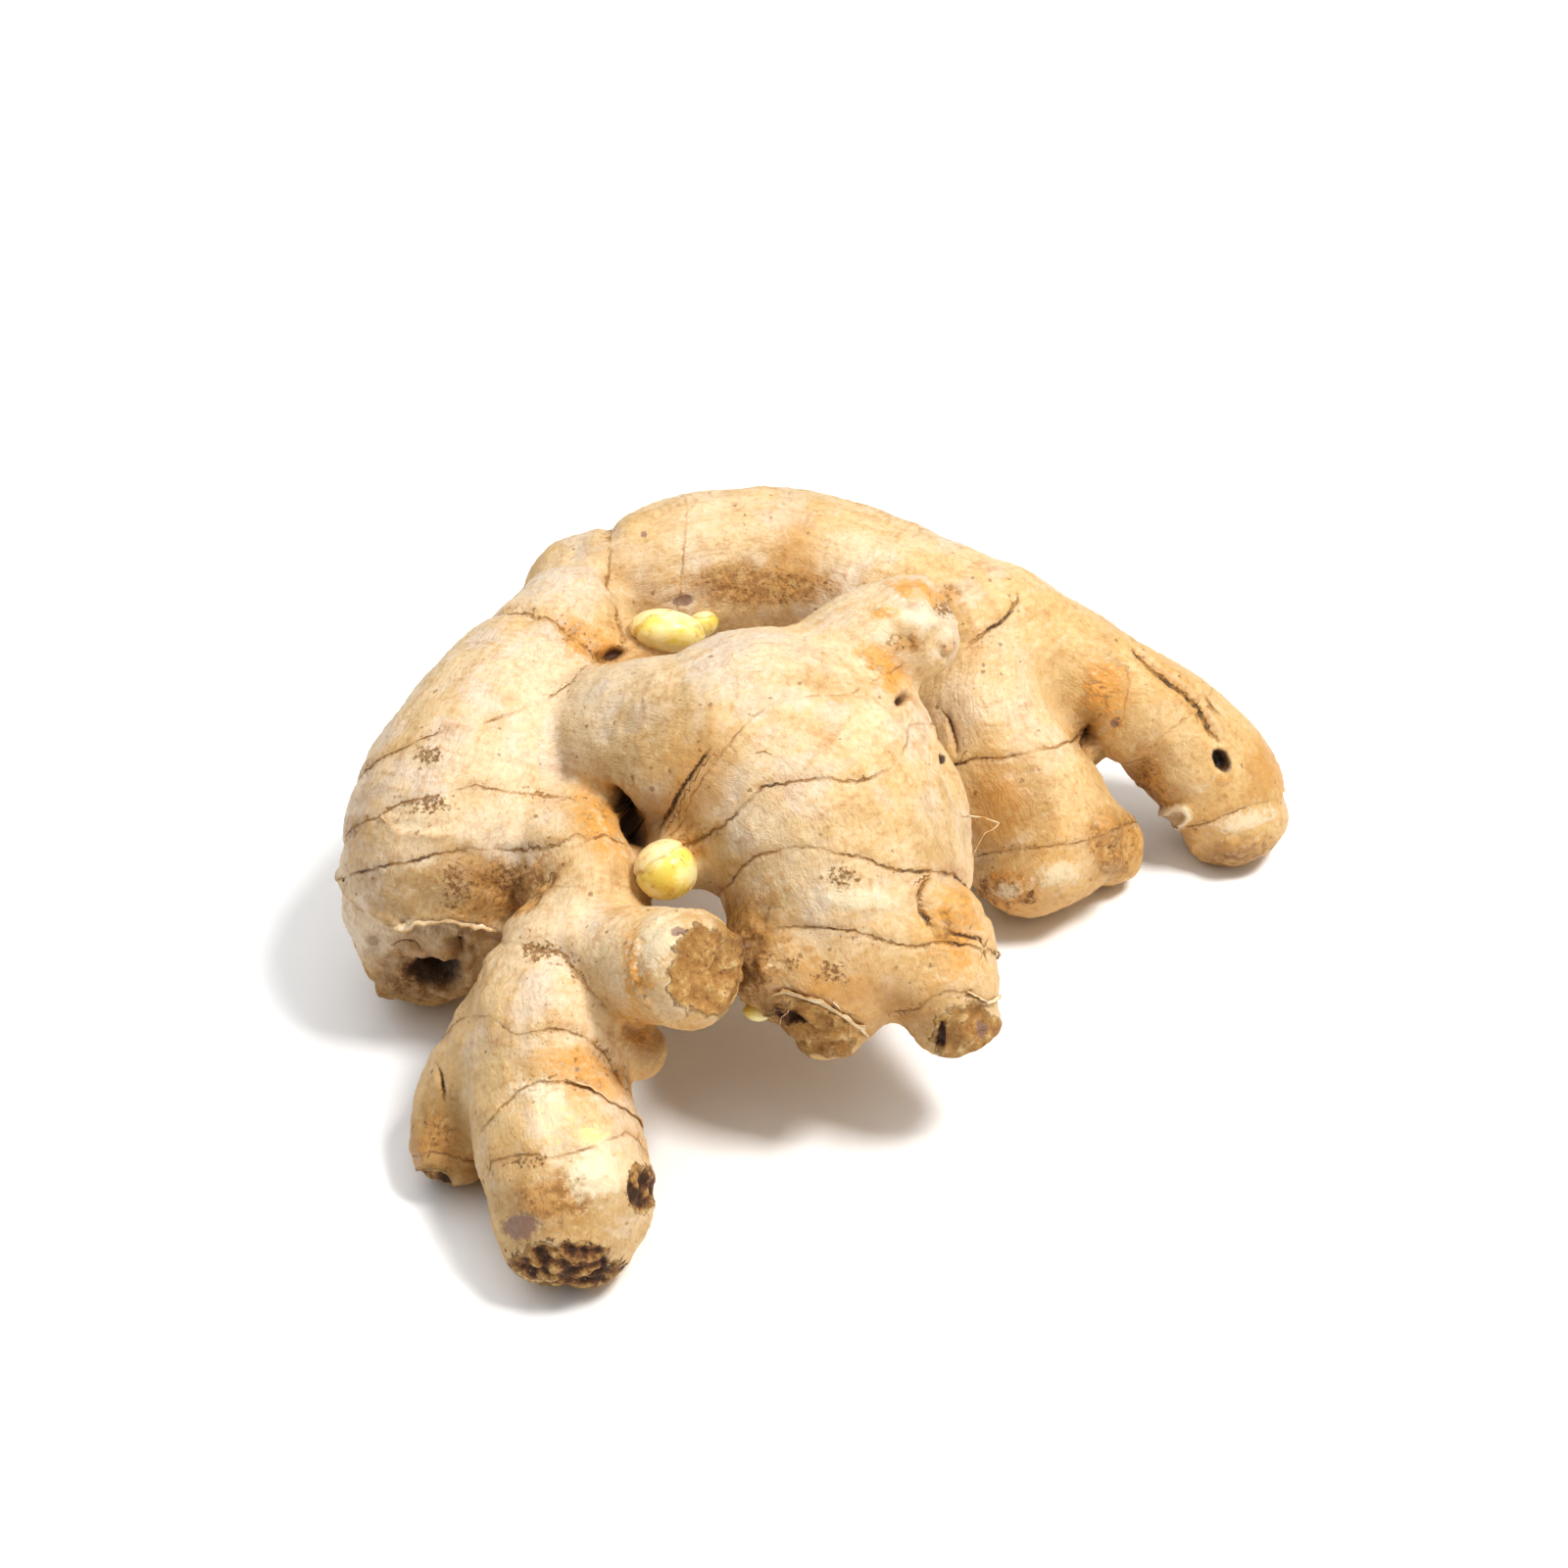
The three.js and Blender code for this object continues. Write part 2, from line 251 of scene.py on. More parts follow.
# Marks on the skin: the kind, the middle, the half width and half height in the photograph's
# pixels, and the turn in degrees. The shade kind, and the marks named for shade, are painted shade
# in crevices, hollows and on the neck
MARKS = {
    "left_end": ("folds", (430, 982), (66, 40), 8),
    "left_hole_rim": ("bark", (428, 1000), (54, 27), 0),
    "left_end_hole": ("pit", (443, 998), (31, 17), 8),
    "left_end_knob": ("knob", (394, 1010), (17, 13), 0),
    "left_end_inner_knob": ("knob", (412, 1000), (9, 13), 0),
    "left_end_shade": ("crust", (416, 1003), (24, 20), 0),
    "left_crust_left": ("crust", (470, 905), (20, 28), 0),
    "left_crust_right": ("crust", (518, 896), (26, 22), 0),
    "left_upper_specks": ("crust", (440, 820), (26, 14), 0),
    "left_shoulder_specks": ("crust", (436, 770), (16, 12), 0),
    "left_low_brown": ("bark", (520, 905), (60, 36), -20),
    "front_tip": ("scar", (578, 1290), (56, 24), 4),
    "front_bud_scar": ("scar", (655, 1213), (17, 24), 0),
    "front_smooth_spot": ("spot", (533, 1252), (21, 14), -8),
    "front_brown_cluster": ("crust", (545, 968), (22, 16), 0),
    "front_peeled_patch": ("bare", (562, 1135), (19, 26), 0),
    "front_peeled_patch_small": ("bare", (604, 1158), (14, 11), 0),
    "front_peeled_edge": ("white", (548, 1112), (26, 10), 0),
    "front_peeled_side": ("white", (608, 1196), (26, 30), 20),
    "front_low_brown": ("bark", (560, 1225), (44, 30), 0),
    "front_waist_brown": ("rust", (600, 1090), (54, 26), 20),
    "front_under_ring": ("crust", (540, 1184), (30, 9), 0),
    "left_stub_end": ("scar", (436, 1206), (26, 13), 0),
    "left_stub_brown": ("bark", (445, 1170), (28, 40), 0),
    "right_stub_end": ("broken", (722, 993), (40, 45), 0),
    "right_stub_collar": ("white", (672, 962), (24, 34), 20),
    "right_stub_dark_mark": ("spot", (692, 951), (9, 5), -20),
    "right_stub_root": ("rust", (652, 985), (18, 50), 0),
    "front_knob_brown": ("rust", (655, 1050), (22, 26), 0),
    "broken_stub_end": ("rough", (944, 630), (42, 44), 0),
    "broken_stub_top": ("rust", (942, 605), (36, 12), 15),
    "broken_stub_knob": ("knob", (970, 614), (11, 13), 0),
    "broken_stub_knob_brown": ("bark", (972, 608), (12, 14), 0),
    "broken_stub_white": ("white", (939, 632), (19, 10), 15),
    "broken_stub_left_white": ("white", (901, 646), (14, 13), 0),
    "broken_stub_yellow": ("rust", (899, 625), (18, 7), 0),
    "broken_stub_low": ("bark", (926, 656), (26, 10), 10),
    "broken_stub_root": ("rust", (898, 673), (26, 15), 35),
    "broken_stub_root_low": ("rust", (914, 692), (16, 18), 0),
    "broken_stub_dark": ("crust", (966, 622), (12, 12), 60),
    "broken_stub_low_knob": ("knob", (966, 661), (9, 7), 0),
    "broken_stub_crevice": ("shade", (922, 712), (12, 7), -40),
    "middle_dark_side": ("bark", (764, 965), (40, 62), 0),
    "middle_dark_crust": ("crust", (768, 985), (30, 46), 0),
    "middle_rough_side": ("rough", (770, 985), (40, 56), 0),
    "middle_soil": ("soil", (752, 966), (28, 54), 5),
    "left_nub_soil": ("soil", (800, 1034), (32, 13), 20),
    "left_end_soil": ("soil", (416, 1008), (46, 22), 0),
    "left_groove_soil": ("soil", (472, 968), (9, 24), 0),
    "left_stub_soil": ("soil", (436, 1200), (28, 10), 0),
    "finger_base_soil": ("soil", (1110, 742), (16, 22), 0),
    "front_knob_soil": ("soil", (662, 1066), (24, 26), 0),
    "left_nub_end": ("broken", (826, 1050), (46, 24), 20),
    "left_nub_dark": ("scar", (806, 1038), (20, 8), 20),
    "right_nub_end": ("broken", (984, 1052), (34, 28), -20),
    "right_nub_dark_left": ("scar", (960, 1058), (5, 18), 10),
    "right_nub_dark_spot": ("spot", (1003, 1050), (7, 8), 0),
    "middle_red_scar": ("crust", (848, 992), (20, 15), 10),
    "middle_red_scar_small": ("crust", (806, 985), (10, 14), 0),
    "middle_upper_crust": ("crust", (860, 895), (20, 16), 0),
    "middle_orange_knob": ("knob", (972, 926), (32, 31), 0),
    "right_nub_pale": ("white", (982, 1046), (20, 22), 0),
    "middle_orange_side": ("rust", (968, 955), (34, 44), 0),
    "middle_low_orange": ("stain", (870, 1010), (80, 40), 10),
    "middle_low_pale": ("white", (872, 918), (46, 11), 3),
    "middle_flank_hole": ("pit", (962, 774), (4.5, 5.5), 0),
    "middle_left_shade": ("stain", (706, 800), (40, 70), 20),
    "neck_shade": ("bark", (700, 870), (18, 30), 20),
    "hollow_shade": ("shade", (648, 844), (15, 30), -28),
    "hollow_upper_shade": ("shade", (632, 818), (12, 24), -30),
    "hollow_rim": ("rust", (612, 840), (24, 44), -20),
    "back_bud_shade": ("shade", (628, 667), (15, 9), -20),
    "back_bud_rim": ("rust", (600, 655), (40, 20), 30),
    "rear_red_patch": ("stain", (812, 570), (30, 40), 0),
    "rear_orange_patch": ("bark", (775, 598), (80, 24), 0),
    "rear_spot": ("spot", (697, 613), (12, 6), 0),
    "rear_small_spot": ("spot", (657, 545), (4, 4), 0),
    "lobe_moist_patch": ("stain", (1014, 822), (34, 48), 0),
    "lobe_brown_scar": ("rust", (1030, 911), (36, 24), 0),
    "lobe_scar_low": ("bark", (1032, 912), (36, 22), 0),
    "lobe_scar_pale": ("white", (1030, 908), (15, 8), 0),
    "lobe_low_pale": ("white", (1080, 892), (26, 13), -10),
    "lobe_scar_left": ("crust", (1006, 908), (9, 16), 0),
    "lobe_scar_right": ("crust", (1052, 916), (9, 9), 0),
    "lobe_knob": ("knob", (1132, 848), (18, 17), 0),
    "lobe_low_knob": ("knob", (1136, 878), (16, 13), 0),
    "lobe_knob_brown": ("bark", (1135, 862), (34, 36), 0),
    "finger_base": ("rust", (1130, 705), (26, 46), 0),
    "finger_crevice": ("shade", (1110, 752), (8, 16), 0),
    "finger_root_scar": ("cork", (1200, 833), (17, 14), 0),
    "finger_hole": ("pit", (1247, 776), (9, 14), -25),
    "finger_dark_stain": ("crust", (1167, 790), (12, 22), -10),
    "finger_dark_spot": ("spot", (1137, 739), (5, 5), 0),
    "finger_pale_bump": ("knob", (1249, 796), (8, 6), 0),
    "finger_rough_tip": ("rough", (1250, 864), (44, 16), -10),
    "finger_edge_brown": ("bark", (1176, 800), (18, 50), -20),
    "finger_orange_patch": ("stain", (1292, 778), (24, 44), 0),
    "finger_tip_brown": ("bark", (1268, 872), (44, 16), -6),
    "finger_tip_pale": ("white", (1268, 838), (34, 10), -18),
    "finger_tip_soil": ("soil", (1252, 878), (34, 10), -4),
}
MARK_FIELDS = ("broken", "scar", "bark", "rust", "soil", "white", "shade", "pit", "spot", "crust",
               "bare", "stain", "cork")

# Weathered and shaded stretches: middle, half width and half height in pixels, turn in degrees, and
# how much darker and warmer the skin is there. Most are weathering and soil; the ones in the hollow
# above the front bud and on the neck's left side are painted shade
WEATHERED_AND_SHADED = (
    ((450, 908), (100, 50), 0, 1.0), ((378, 870), (34, 90), 0, 0.45),
    ((440, 985), (90, 50), 0, 0.7), ((442, 1165), (40, 60), 0, 1.0), ((575, 1245), (100, 60), 0, 0.7),
    ((565, 1085), (80, 26), 10, 0.45), ((800, 1000), (64, 60), 0, 0.4), ((762, 965), (40, 60), 0, 0.9),
    ((900, 1035), (120, 45), 5, 0.75), ((742, 900), (42, 90), 10, 0.3),
    ((672, 742), (60, 60), 0, 0.6), ((1030, 908), (40, 24), -10, 0.4),
    ((1035, 820), (56, 56), 0, 0.8), ((1138, 862), (34, 44), 0, 0.6),
    ((1130, 704), (30, 54), 0, 0.8), ((1178, 790), (34, 64), -20, 0.6),
    ((1292, 790), (26, 54), 0, 0.45), ((1270, 868), (50, 20), 0, 0.6),
    ((660, 612), (48, 52), 0, 0.45), ((785, 590), (100, 32), 0, 0.5), ((722, 993), (46, 50), 0, 0.6),
    ((940, 655), (26, 14), 0, 0.4), ((900, 685), (26, 26), 0, 0.3), ((630, 835), (60, 66), 0, 0.6),
    ((572, 885), (44, 44), 0, 0.35), ((900, 830), (90, 36), 0, 0.3), ((968, 930), (34, 34), 0, 0.4),
    ((860, 690), (110, 50), 0, 0.35), ((955, 850), (40, 60), 0, 0.5),
)


def section_chain(spine, step=1.6):
    """A finger's closely spaced sections: middles and radii along a smooth curve."""
    spine = np.array(spine, float)
    places, radii = spine[:, :3], spine[:, 3]
    before = np.vstack((2 * places[0] - places[1], places, 2 * places[-1] - places[-2]))

    def at(share):
        where = min(share * (len(places) - 1), len(places) - 1 - 1e-9)
        i = int(where)
        t = where - i
        p = before[i:i + 4]
        gap = [max(np.linalg.norm(p[k + 1] - p[k]), 1e-4) ** 0.5 for k in range(3)]
        m1 = (p[1] - p[0]) / gap[0] - (p[2] - p[0]) / (gap[0] + gap[1]) + (p[2] - p[1]) / gap[1]
        m2 = (p[2] - p[1]) / gap[1] - (p[3] - p[1]) / (gap[1] + gap[2]) + (p[3] - p[2]) / gap[2]
        m1, m2 = m1 * gap[1], m2 * gap[1]
        middle = (p[1] + m1 * t + (3 * (p[2] - p[1]) - 2 * m1 - m2) * t * t
                  + (2 * (p[1] - p[2]) + m1 + m2) * t ** 3)
        r = radii[np.clip(np.arange(i - 1, i + 3), 0, len(radii) - 1)]
        v0, v1 = (r[2] - r[0]) / 2, (r[3] - r[1]) / 2
        radius = (r[1] + v0 * t + (3 * (r[2] - r[1]) - 2 * v0 - v1) * t * t
                  + (2 * (r[1] - r[2]) + v0 + v1) * t ** 3)
        return np.append(middle, radius)

    rough = np.array([at(s) for s in np.linspace(0, 1, 200)])
    length = np.linalg.norm(np.diff(rough[:, :3], axis=0), axis=1).sum()
    return np.array([at(s) for s in np.linspace(0, 1, int(np.ceil(length / step)) + 1)])


class Finger:
    """One finger's sections in the part's coordinates, with a direction and two sides at each."""

    def __init__(self, name, spine, flat):
        self.name = name
        chain = section_chain(spine)
        self.middles = chain[:, :3] + TO_ORIGIN
        self.radii = chain[:, 3]
        self.ahead = np.gradient(self.middles, axis=0)
        self.ahead /= np.linalg.norm(self.ahead, axis=1)[:, None]
        steps = np.linalg.norm(np.diff(self.middles, axis=0), axis=1)
        self.along = np.append(0, np.cumsum(steps))
        side = np.cross(self.ahead[0], (0.3, 0.2, 0.93))
        sides = []
        for t in self.ahead:
            side = side - side.dot(t) * t
            side = side / np.linalg.norm(side)
            sides.append(side)
        self.side = np.array(sides)
        self.other_side = np.cross(self.ahead, self.side)
        self.end = None
        if flat:
            tip, before = np.array(spine[-1][:3]), np.array(spine[-2][:3])
            out = (tip - before) / np.linalg.norm(tip - before)
            self.end = (out, out.dot(tip + TO_ORIGIN + out * flat))

    def distance(self, points):
        """How far each point is from this finger's skin, the way out, and the nearest section."""
        nearest = np.zeros(len(points), int)
        best = np.full(len(points), np.inf)
        for i, (middle, radius) in enumerate(zip(self.middles, self.radii)):
            d = np.linalg.norm(points - middle, axis=1) - radius
            closer = d < best
            best[closer] = d[closer]
            nearest[closer] = i
        out = points - self.middles[nearest]
        out /= np.maximum(np.linalg.norm(out, axis=1), 1e-6)[:, None]
        if self.end:
            facing, offset = self.end
            past = points @ facing - offset
            near = np.maximum(2.0 - np.abs(best - past), 0) / 2.0
            first = best > past
            share = np.where(first, 1 - near / 2, near / 2)[:, None]
            out = out * share + facing * (1 - share)
            best = np.maximum(best, past) + near * near * 0.5
        return best, out, nearest


fingers = [Finger(name, *shape) for name, shape in FINGERS.items()]
finger_named = {finger.name: finger for finger in fingers}


def skin_distance(points, fillet):
    """For each point: its distance from the whole rhizome's skin, the way out, the finger and
    section that it belongs to, and how clear of the other fingers it is, up to 1."""
    total = out = None
    closest, second = np.full((2, len(points)), np.inf)
    which = np.zeros(len(points), int)
    section = np.zeros(len(points), int)
    for i, finger in enumerate(fingers):
        d, way, near = finger.distance(points)
        closer = d < closest
        second = np.minimum(second, np.maximum(d, closest))
        closest[closer], which[closer], section[closer] = d[closer], i, near[closer]
        if total is None:
            total, out = d, way
            continue
        h = np.maximum(fillet - np.abs(total - d), 0) / fillet
        share = np.where(total < d, 1 - h / 2, h / 2)[:, None]
        out = out * share + way * (1 - share)
        total = np.minimum(total, d) - h * h * fillet / 4
    return total, out, which, section, smooth_step(0.0, 2.5, second - closest)


def soft_noise(points, size, seed=0):
    """Smooth noise from about -1 to 1 at each point, with swellings of the given size."""
    p = points / size + 31.7 * (seed + 1)
    cell = np.floor(p).astype(np.int64)
    f = p - cell
    w = f * f * f * (f * (f * 6 - 15) + 10)
    total = np.zeros(len(points))
    for corner in ((x, y, z) for x in (0, 1) for y in (0, 1) for z in (0, 1)):
        c = cell + corner
        h = (c[:, 0] * 73856093) ^ (c[:, 1] * 19349663) ^ (c[:, 2] * 83492791) ^ (seed * 7919)
        h = (h ^ (h >> 13)) * 1274126177
        h = (h ^ (h >> 16)) & 0x3FFFFFFF
        slope = np.stack((h & 1023, (h >> 10) & 1023, (h >> 20) & 1023), 1) / 511.5 - 1
        weight = np.prod(np.where(corner, w, 1 - w), axis=1)
        total += weight * ((f - corner) * slope).sum(1)
    return total * 1.5


def smooth_step(low, high, value):
    """0 under low, 1 over high and a soft slope between them; low may be the larger."""
    t = np.clip((value - low) / (high - low), 0, 1)
    return t * t * (3 - 2 * t)


def to_picture(points):
    """Pixel column, pixel row and depth of points in the photograph."""
    q = points - EYE
    depth = q @ AHEAD
    return (PICTURE / 2 + FOCUS * (q @ RIGHT) / depth,
            PICTURE / 2 - FOCUS * (q @ UP) / depth, depth)


def sight_line(pixel):
    """The direction in which the photograph's camera sees a pixel."""
    u, v = pixel
    d = AHEAD + RIGHT * (u - PICTURE / 2) / FOCUS - UP * (v - PICTURE / 2) / FOCUS
    return d / np.linalg.norm(d)


class Skin:
    """The skin's points and faces while they are worked on, in millimetres."""

    def __init__(self, mesh):
        n = len(mesh.vertices)
        points = np.zeros(n * 3)
        mesh.vertices.foreach_get("co", points)
        self.points = points.reshape(n, 3) / MM
        corners = np.zeros(len(mesh.loops), int)
        mesh.loops.foreach_get("vertex_index", corners)
        self.quads = corners.reshape(-1, 4)
        pairs = np.zeros(len(mesh.edges) * 2, int)
        mesh.edges.foreach_get("vertices", pairs)
        self.pairs = pairs.reshape(-1, 2)
        self.neighbours = np.bincount(self.pairs.ravel(), minlength=n)
        self.marks = {}

    def around(self, values):
        """The mean of a value over each point's neighbours."""
        a, b = self.pairs.T
        n = len(self.points)
        columns = values.reshape(n, -1).T
        sums = [np.bincount(a, c[b], n) + np.bincount(b, c[a], n) for c in columns]
        return (np.array(sums).T / self.neighbours[:, None]).reshape(values.shape)

    def smoothed(self, values, rounds):
        """A value evened out over the skin, round after round."""
        for _ in range(rounds):
            values = (values + self.around(values)) / 2
        return values

    def normals(self):
        """The way out of the skin at each point."""
        p = self.points[self.quads]
        across = np.cross(p[:, 2] - p[:, 0], p[:, 3] - p[:, 1])
        n = len(self.points)
        total = np.zeros((n, 3))
        for axis in range(3):
            for corner in range(4):
                total[:, axis] += np.bincount(self.quads[:, corner], across[:, axis], n)
        return total / np.maximum(np.linalg.norm(total, axis=1), 1e-9)[:, None]

    def tree(self):
        """The skin as it stands, ready to be met by rays."""
        return BVHTree.FromPolygons(self.points.tolist(), self.quads.tolist())


def seen_from_camera(tree, pixel):
    """Where the photograph's camera meets the skin at a pixel, and the skin's normal there."""
    hit, normal, _, _ = tree.ray_cast(Vector(EYE), Vector(sight_line(pixel)))
    if hit is None:
        return None, None
    return np.array(hit), np.array(normal)


def nearest_in_picture(skin, tree, normals, pixel):
    """Where the camera meets the skin at a pixel, or else the closest seen point of its outline."""
    hit, _ = seen_from_camera(tree, pixel)
    if hit is not None:
        return hit
    u, v, _ = to_picture(skin.points)
    turned_away = ((skin.points - EYE) * normals).sum(1) > 0
    off = np.hypot(u - pixel[0], v - pixel[1]) + 1000.0 * turned_away
    return skin.points[int(np.argmin(off))]


def evenly(path, step):
    """Points along a path of straight pieces, a step apart."""
    path = np.array(path, float)
    lengths = np.append(0, np.cumsum(np.linalg.norm(np.diff(path, axis=0), axis=1)))
    wanted = np.linspace(0, lengths[-1], max(int(lengths[-1] / step), 2) + 1)
    return np.stack([np.interp(wanted, lengths, path[:, k]) for k in range(path.shape[1])], 1)


def visible_path(tree, pixels):
    """The stretch of a pixel path that lies on one unbroken piece of skin, in millimetres."""
    found = []
    for pixel in evenly(pixels, SIGHT_STEP):
        hit, _ = seen_from_camera(tree, pixel)
        if hit is not None:
            found.append(hit)
    runs, run = [], found[:1]
    for before, after in zip(found, found[1:]):
        if np.linalg.norm(after - before) > JUMP:
            runs.append(run)
            run = []
        run.append(after)
    runs.append(run)
    return np.array(max(runs, key=len))


def whole_ring(tree, finger, seen, seed):
    """A ring that follows the seen points and goes on round the finger's hidden side."""
    middle = seen.mean(0)
    i = int(np.argmin(np.linalg.norm(finger.middles - middle, axis=1)))
    centre, axis = finger.middles[i], finger.ahead[i]
    e1, e2 = finger.side[i], finger.other_side[i]
    reach = finger.radii[i]
    rel = seen - centre
    rows = np.stack((rel @ e1, rel @ e2, np.ones(len(rel))), 1)
    hold = np.diag((reach * 1.6, reach * 1.6, 0.0))
    wanted = np.append(-(rel @ axis), (0, 0, 0))
    tilt = np.linalg.lstsq(np.vstack((rows, hold)), wanted, rcond=None)[0]
    normal = axis + tilt[0] * e1 + tilt[1] * e2
    normal /= np.linalg.norm(normal)
    centre = centre + normal * (seen - centre).dot(normal).mean()
    e1 = e1 - e1.dot(normal) * normal
    e1 /= np.linalg.norm(e1)
    e2 = np.cross(normal, e1)
    rel = seen - centre
    turn = np.unwrap(np.arctan2(rel @ e2, rel @ e1))
    if turn[-1] < turn[0]:
        turn, rel = turn[::-1], rel[::-1]
    off = rel @ normal
    hidden = turn[0] + 2 * np.pi - turn[-1]
    if hidden < 0.3:
        return seen, np.ones(len(seen))
    added = []
    for share in np.linspace(0, 1, max(int(hidden * reach / 1.2), 4))[1:-1]:
        angle = turn[-1] + hidden * share
        way = np.cos(angle) * e1 + np.sin(angle) * e2
        drift = (1 - share) * off[-1] + share * off[0]
        wave = soft_noise(np.array([[angle * 2.0, seed * 3.3, 0.5]]), 1.0, seed)[0]
        start = centre + normal * (drift + 0.9 * wave * np.sin(np.pi * share))
        hit, _, _, far = tree.ray_cast(Vector(start), Vector(way))
        if hit is None or far > reach * 1.45:
            continue
        added.append(np.array(hit))
    if not added:
        return seen, np.ones(len(seen))
    strength = np.append(np.ones(len(seen)), np.full(len(added), HIDDEN_STRENGTH))
    return np.vstack((seen, added)), strength


def line_samples(tree):
    """Every line as closely spaced samples: place, side across the line, and its marks."""
    places, sides, marks, stretches = [], [], [], {}
    for number, (name, (finger, kind, wraps, pixels)) in enumerate(LINES.items()):
        seen = visible_path(tree, pixels)
        if len(seen) < 3:
            raise RuntimeError(f"the line {name} doesn't lie on the skin")
        owner = finger_named[finger]
        path, strength = (whole_ring(tree, owner, seen, number) if wraps
                          else (seen, np.ones(len(seen))))
        i = int(np.argmin(np.linalg.norm(owner.middles - seen.mean(0), axis=1)))
        axis = owner.ahead[i]
        order = np.arange(len(path))
        if wraps:
            rel = path - path.mean(0)
            e1, e2 = owner.side[i], owner.other_side[i]
            order = np.argsort(np.arctan2(rel @ e2, rel @ e1))
            path, strength = path[order], strength[order]
            path, strength = np.vstack((path, path[:1])), np.append(strength, strength[0])
        gaps = np.linalg.norm(np.diff(path, axis=0), axis=1)
        fine_path, fine_strength = [], []
        for a, b, wa, wb, gap in zip(path, path[1:], strength, strength[1:], gaps):
            if gap > 6.0:
                continue
            count = max(int(gap / 0.4), 1)
            for k in range(count):
                t = k / count
                fine_path.append(a * (1 - t) + b * t)
                fine_strength.append(wa * (1 - t) + wb * t)
        fine = np.array(fine_path)
        fine_strength = np.array(fine_strength)
        look = LINE_KINDS[kind]
        if kind in ("ring", "faint", "crease"):
            wander = (soft_noise(fine, 1.6, number) * 0.28
                      + soft_noise(fine, 5.0, number + 40) * 0.35)
            fine = fine + axis * wander[:, None]
        along = np.gradient(fine, axis=0)
        along /= np.maximum(np.linalg.norm(along, axis=1), 1e-6)[:, None]
        outward = np.array([np.array(tree.find_nearest(Vector(p))[1]) for p in fine])
        side = np.cross(outward, along)
        flip = np.sign((side @ axis)) if wraps else np.ones(len(side))
        side *= np.where(flip == 0, 1, flip)[:, None]
        if not wraps:
            taper = np.minimum(np.arange(len(fine)), np.arange(len(fine))[::-1]) * 0.4
            fine_strength = fine_strength * smooth_step(0, 3.0, taper)
        breaks = soft_noise(fine, 3.2, number + 80) * 0.5 + soft_noise(fine, 9.0, number + 90)
        fine_strength = fine_strength * (1 - look["broken"] * smooth_step(-0.1, 0.7, breaks))
        stretches[name] = (fine, outward, side, fine_strength)
        for p, s, w in zip(fine, side, fine_strength):
            places.append(p)
            sides.append(s)
            marks.append((number, w))
    return np.array(places), np.array(sides), marks, stretches


def mark_lines(skin, tree):
    """Finds each point's nearest line and returns how far the skin rises or sinks there."""
    places, sides, marks, stretches = line_samples(tree)
    lookup = KDTree(len(places))
    for i, p in enumerate(places):
        lookup.insert(p, i)
    lookup.balance()
    kinds = [LINE_KINDS[line[1]] for line in LINES.values()]
    n = len(skin.points)
    gap, far, dark, stain = np.full(n, 9.0), np.full(n, 9.0), np.zeros(n), np.zeros(n)
    rise = np.zeros(n)
    for v, point in enumerate(skin.points):
        _, i, distance = lookup.find(point)
        if distance > 9.0:
            continue
        number, weight = marks[i]
        look = kinds[number]
        s = float((point - places[i]).dot(sides[i]))
        s = s if abs(s) > 0.7 * distance or distance < 0.8 else np.copysign(distance, s)
        gap[v], far[v] = s / look["drawn"], distance
        dark[v] = look["dark"] * weight
        fade = np.exp(-((distance / 3.2) ** 2))
        stain[v] = look["stain"] * weight * np.exp(-distance / 2.0)
        rise[v] = weight * (-look["depth"] * np.exp(-((s / look["width"]) ** 2))
                            - look["step"] * np.tanh(s / 0.8) * fade * 0.5
                            - look["step"] * 0.5 * np.exp(-((distance / 4.5) ** 2)))
    skin.marks.update(gap=gap, far=far, line_dark=dark, line_stain=stain)
    return rise, stretches


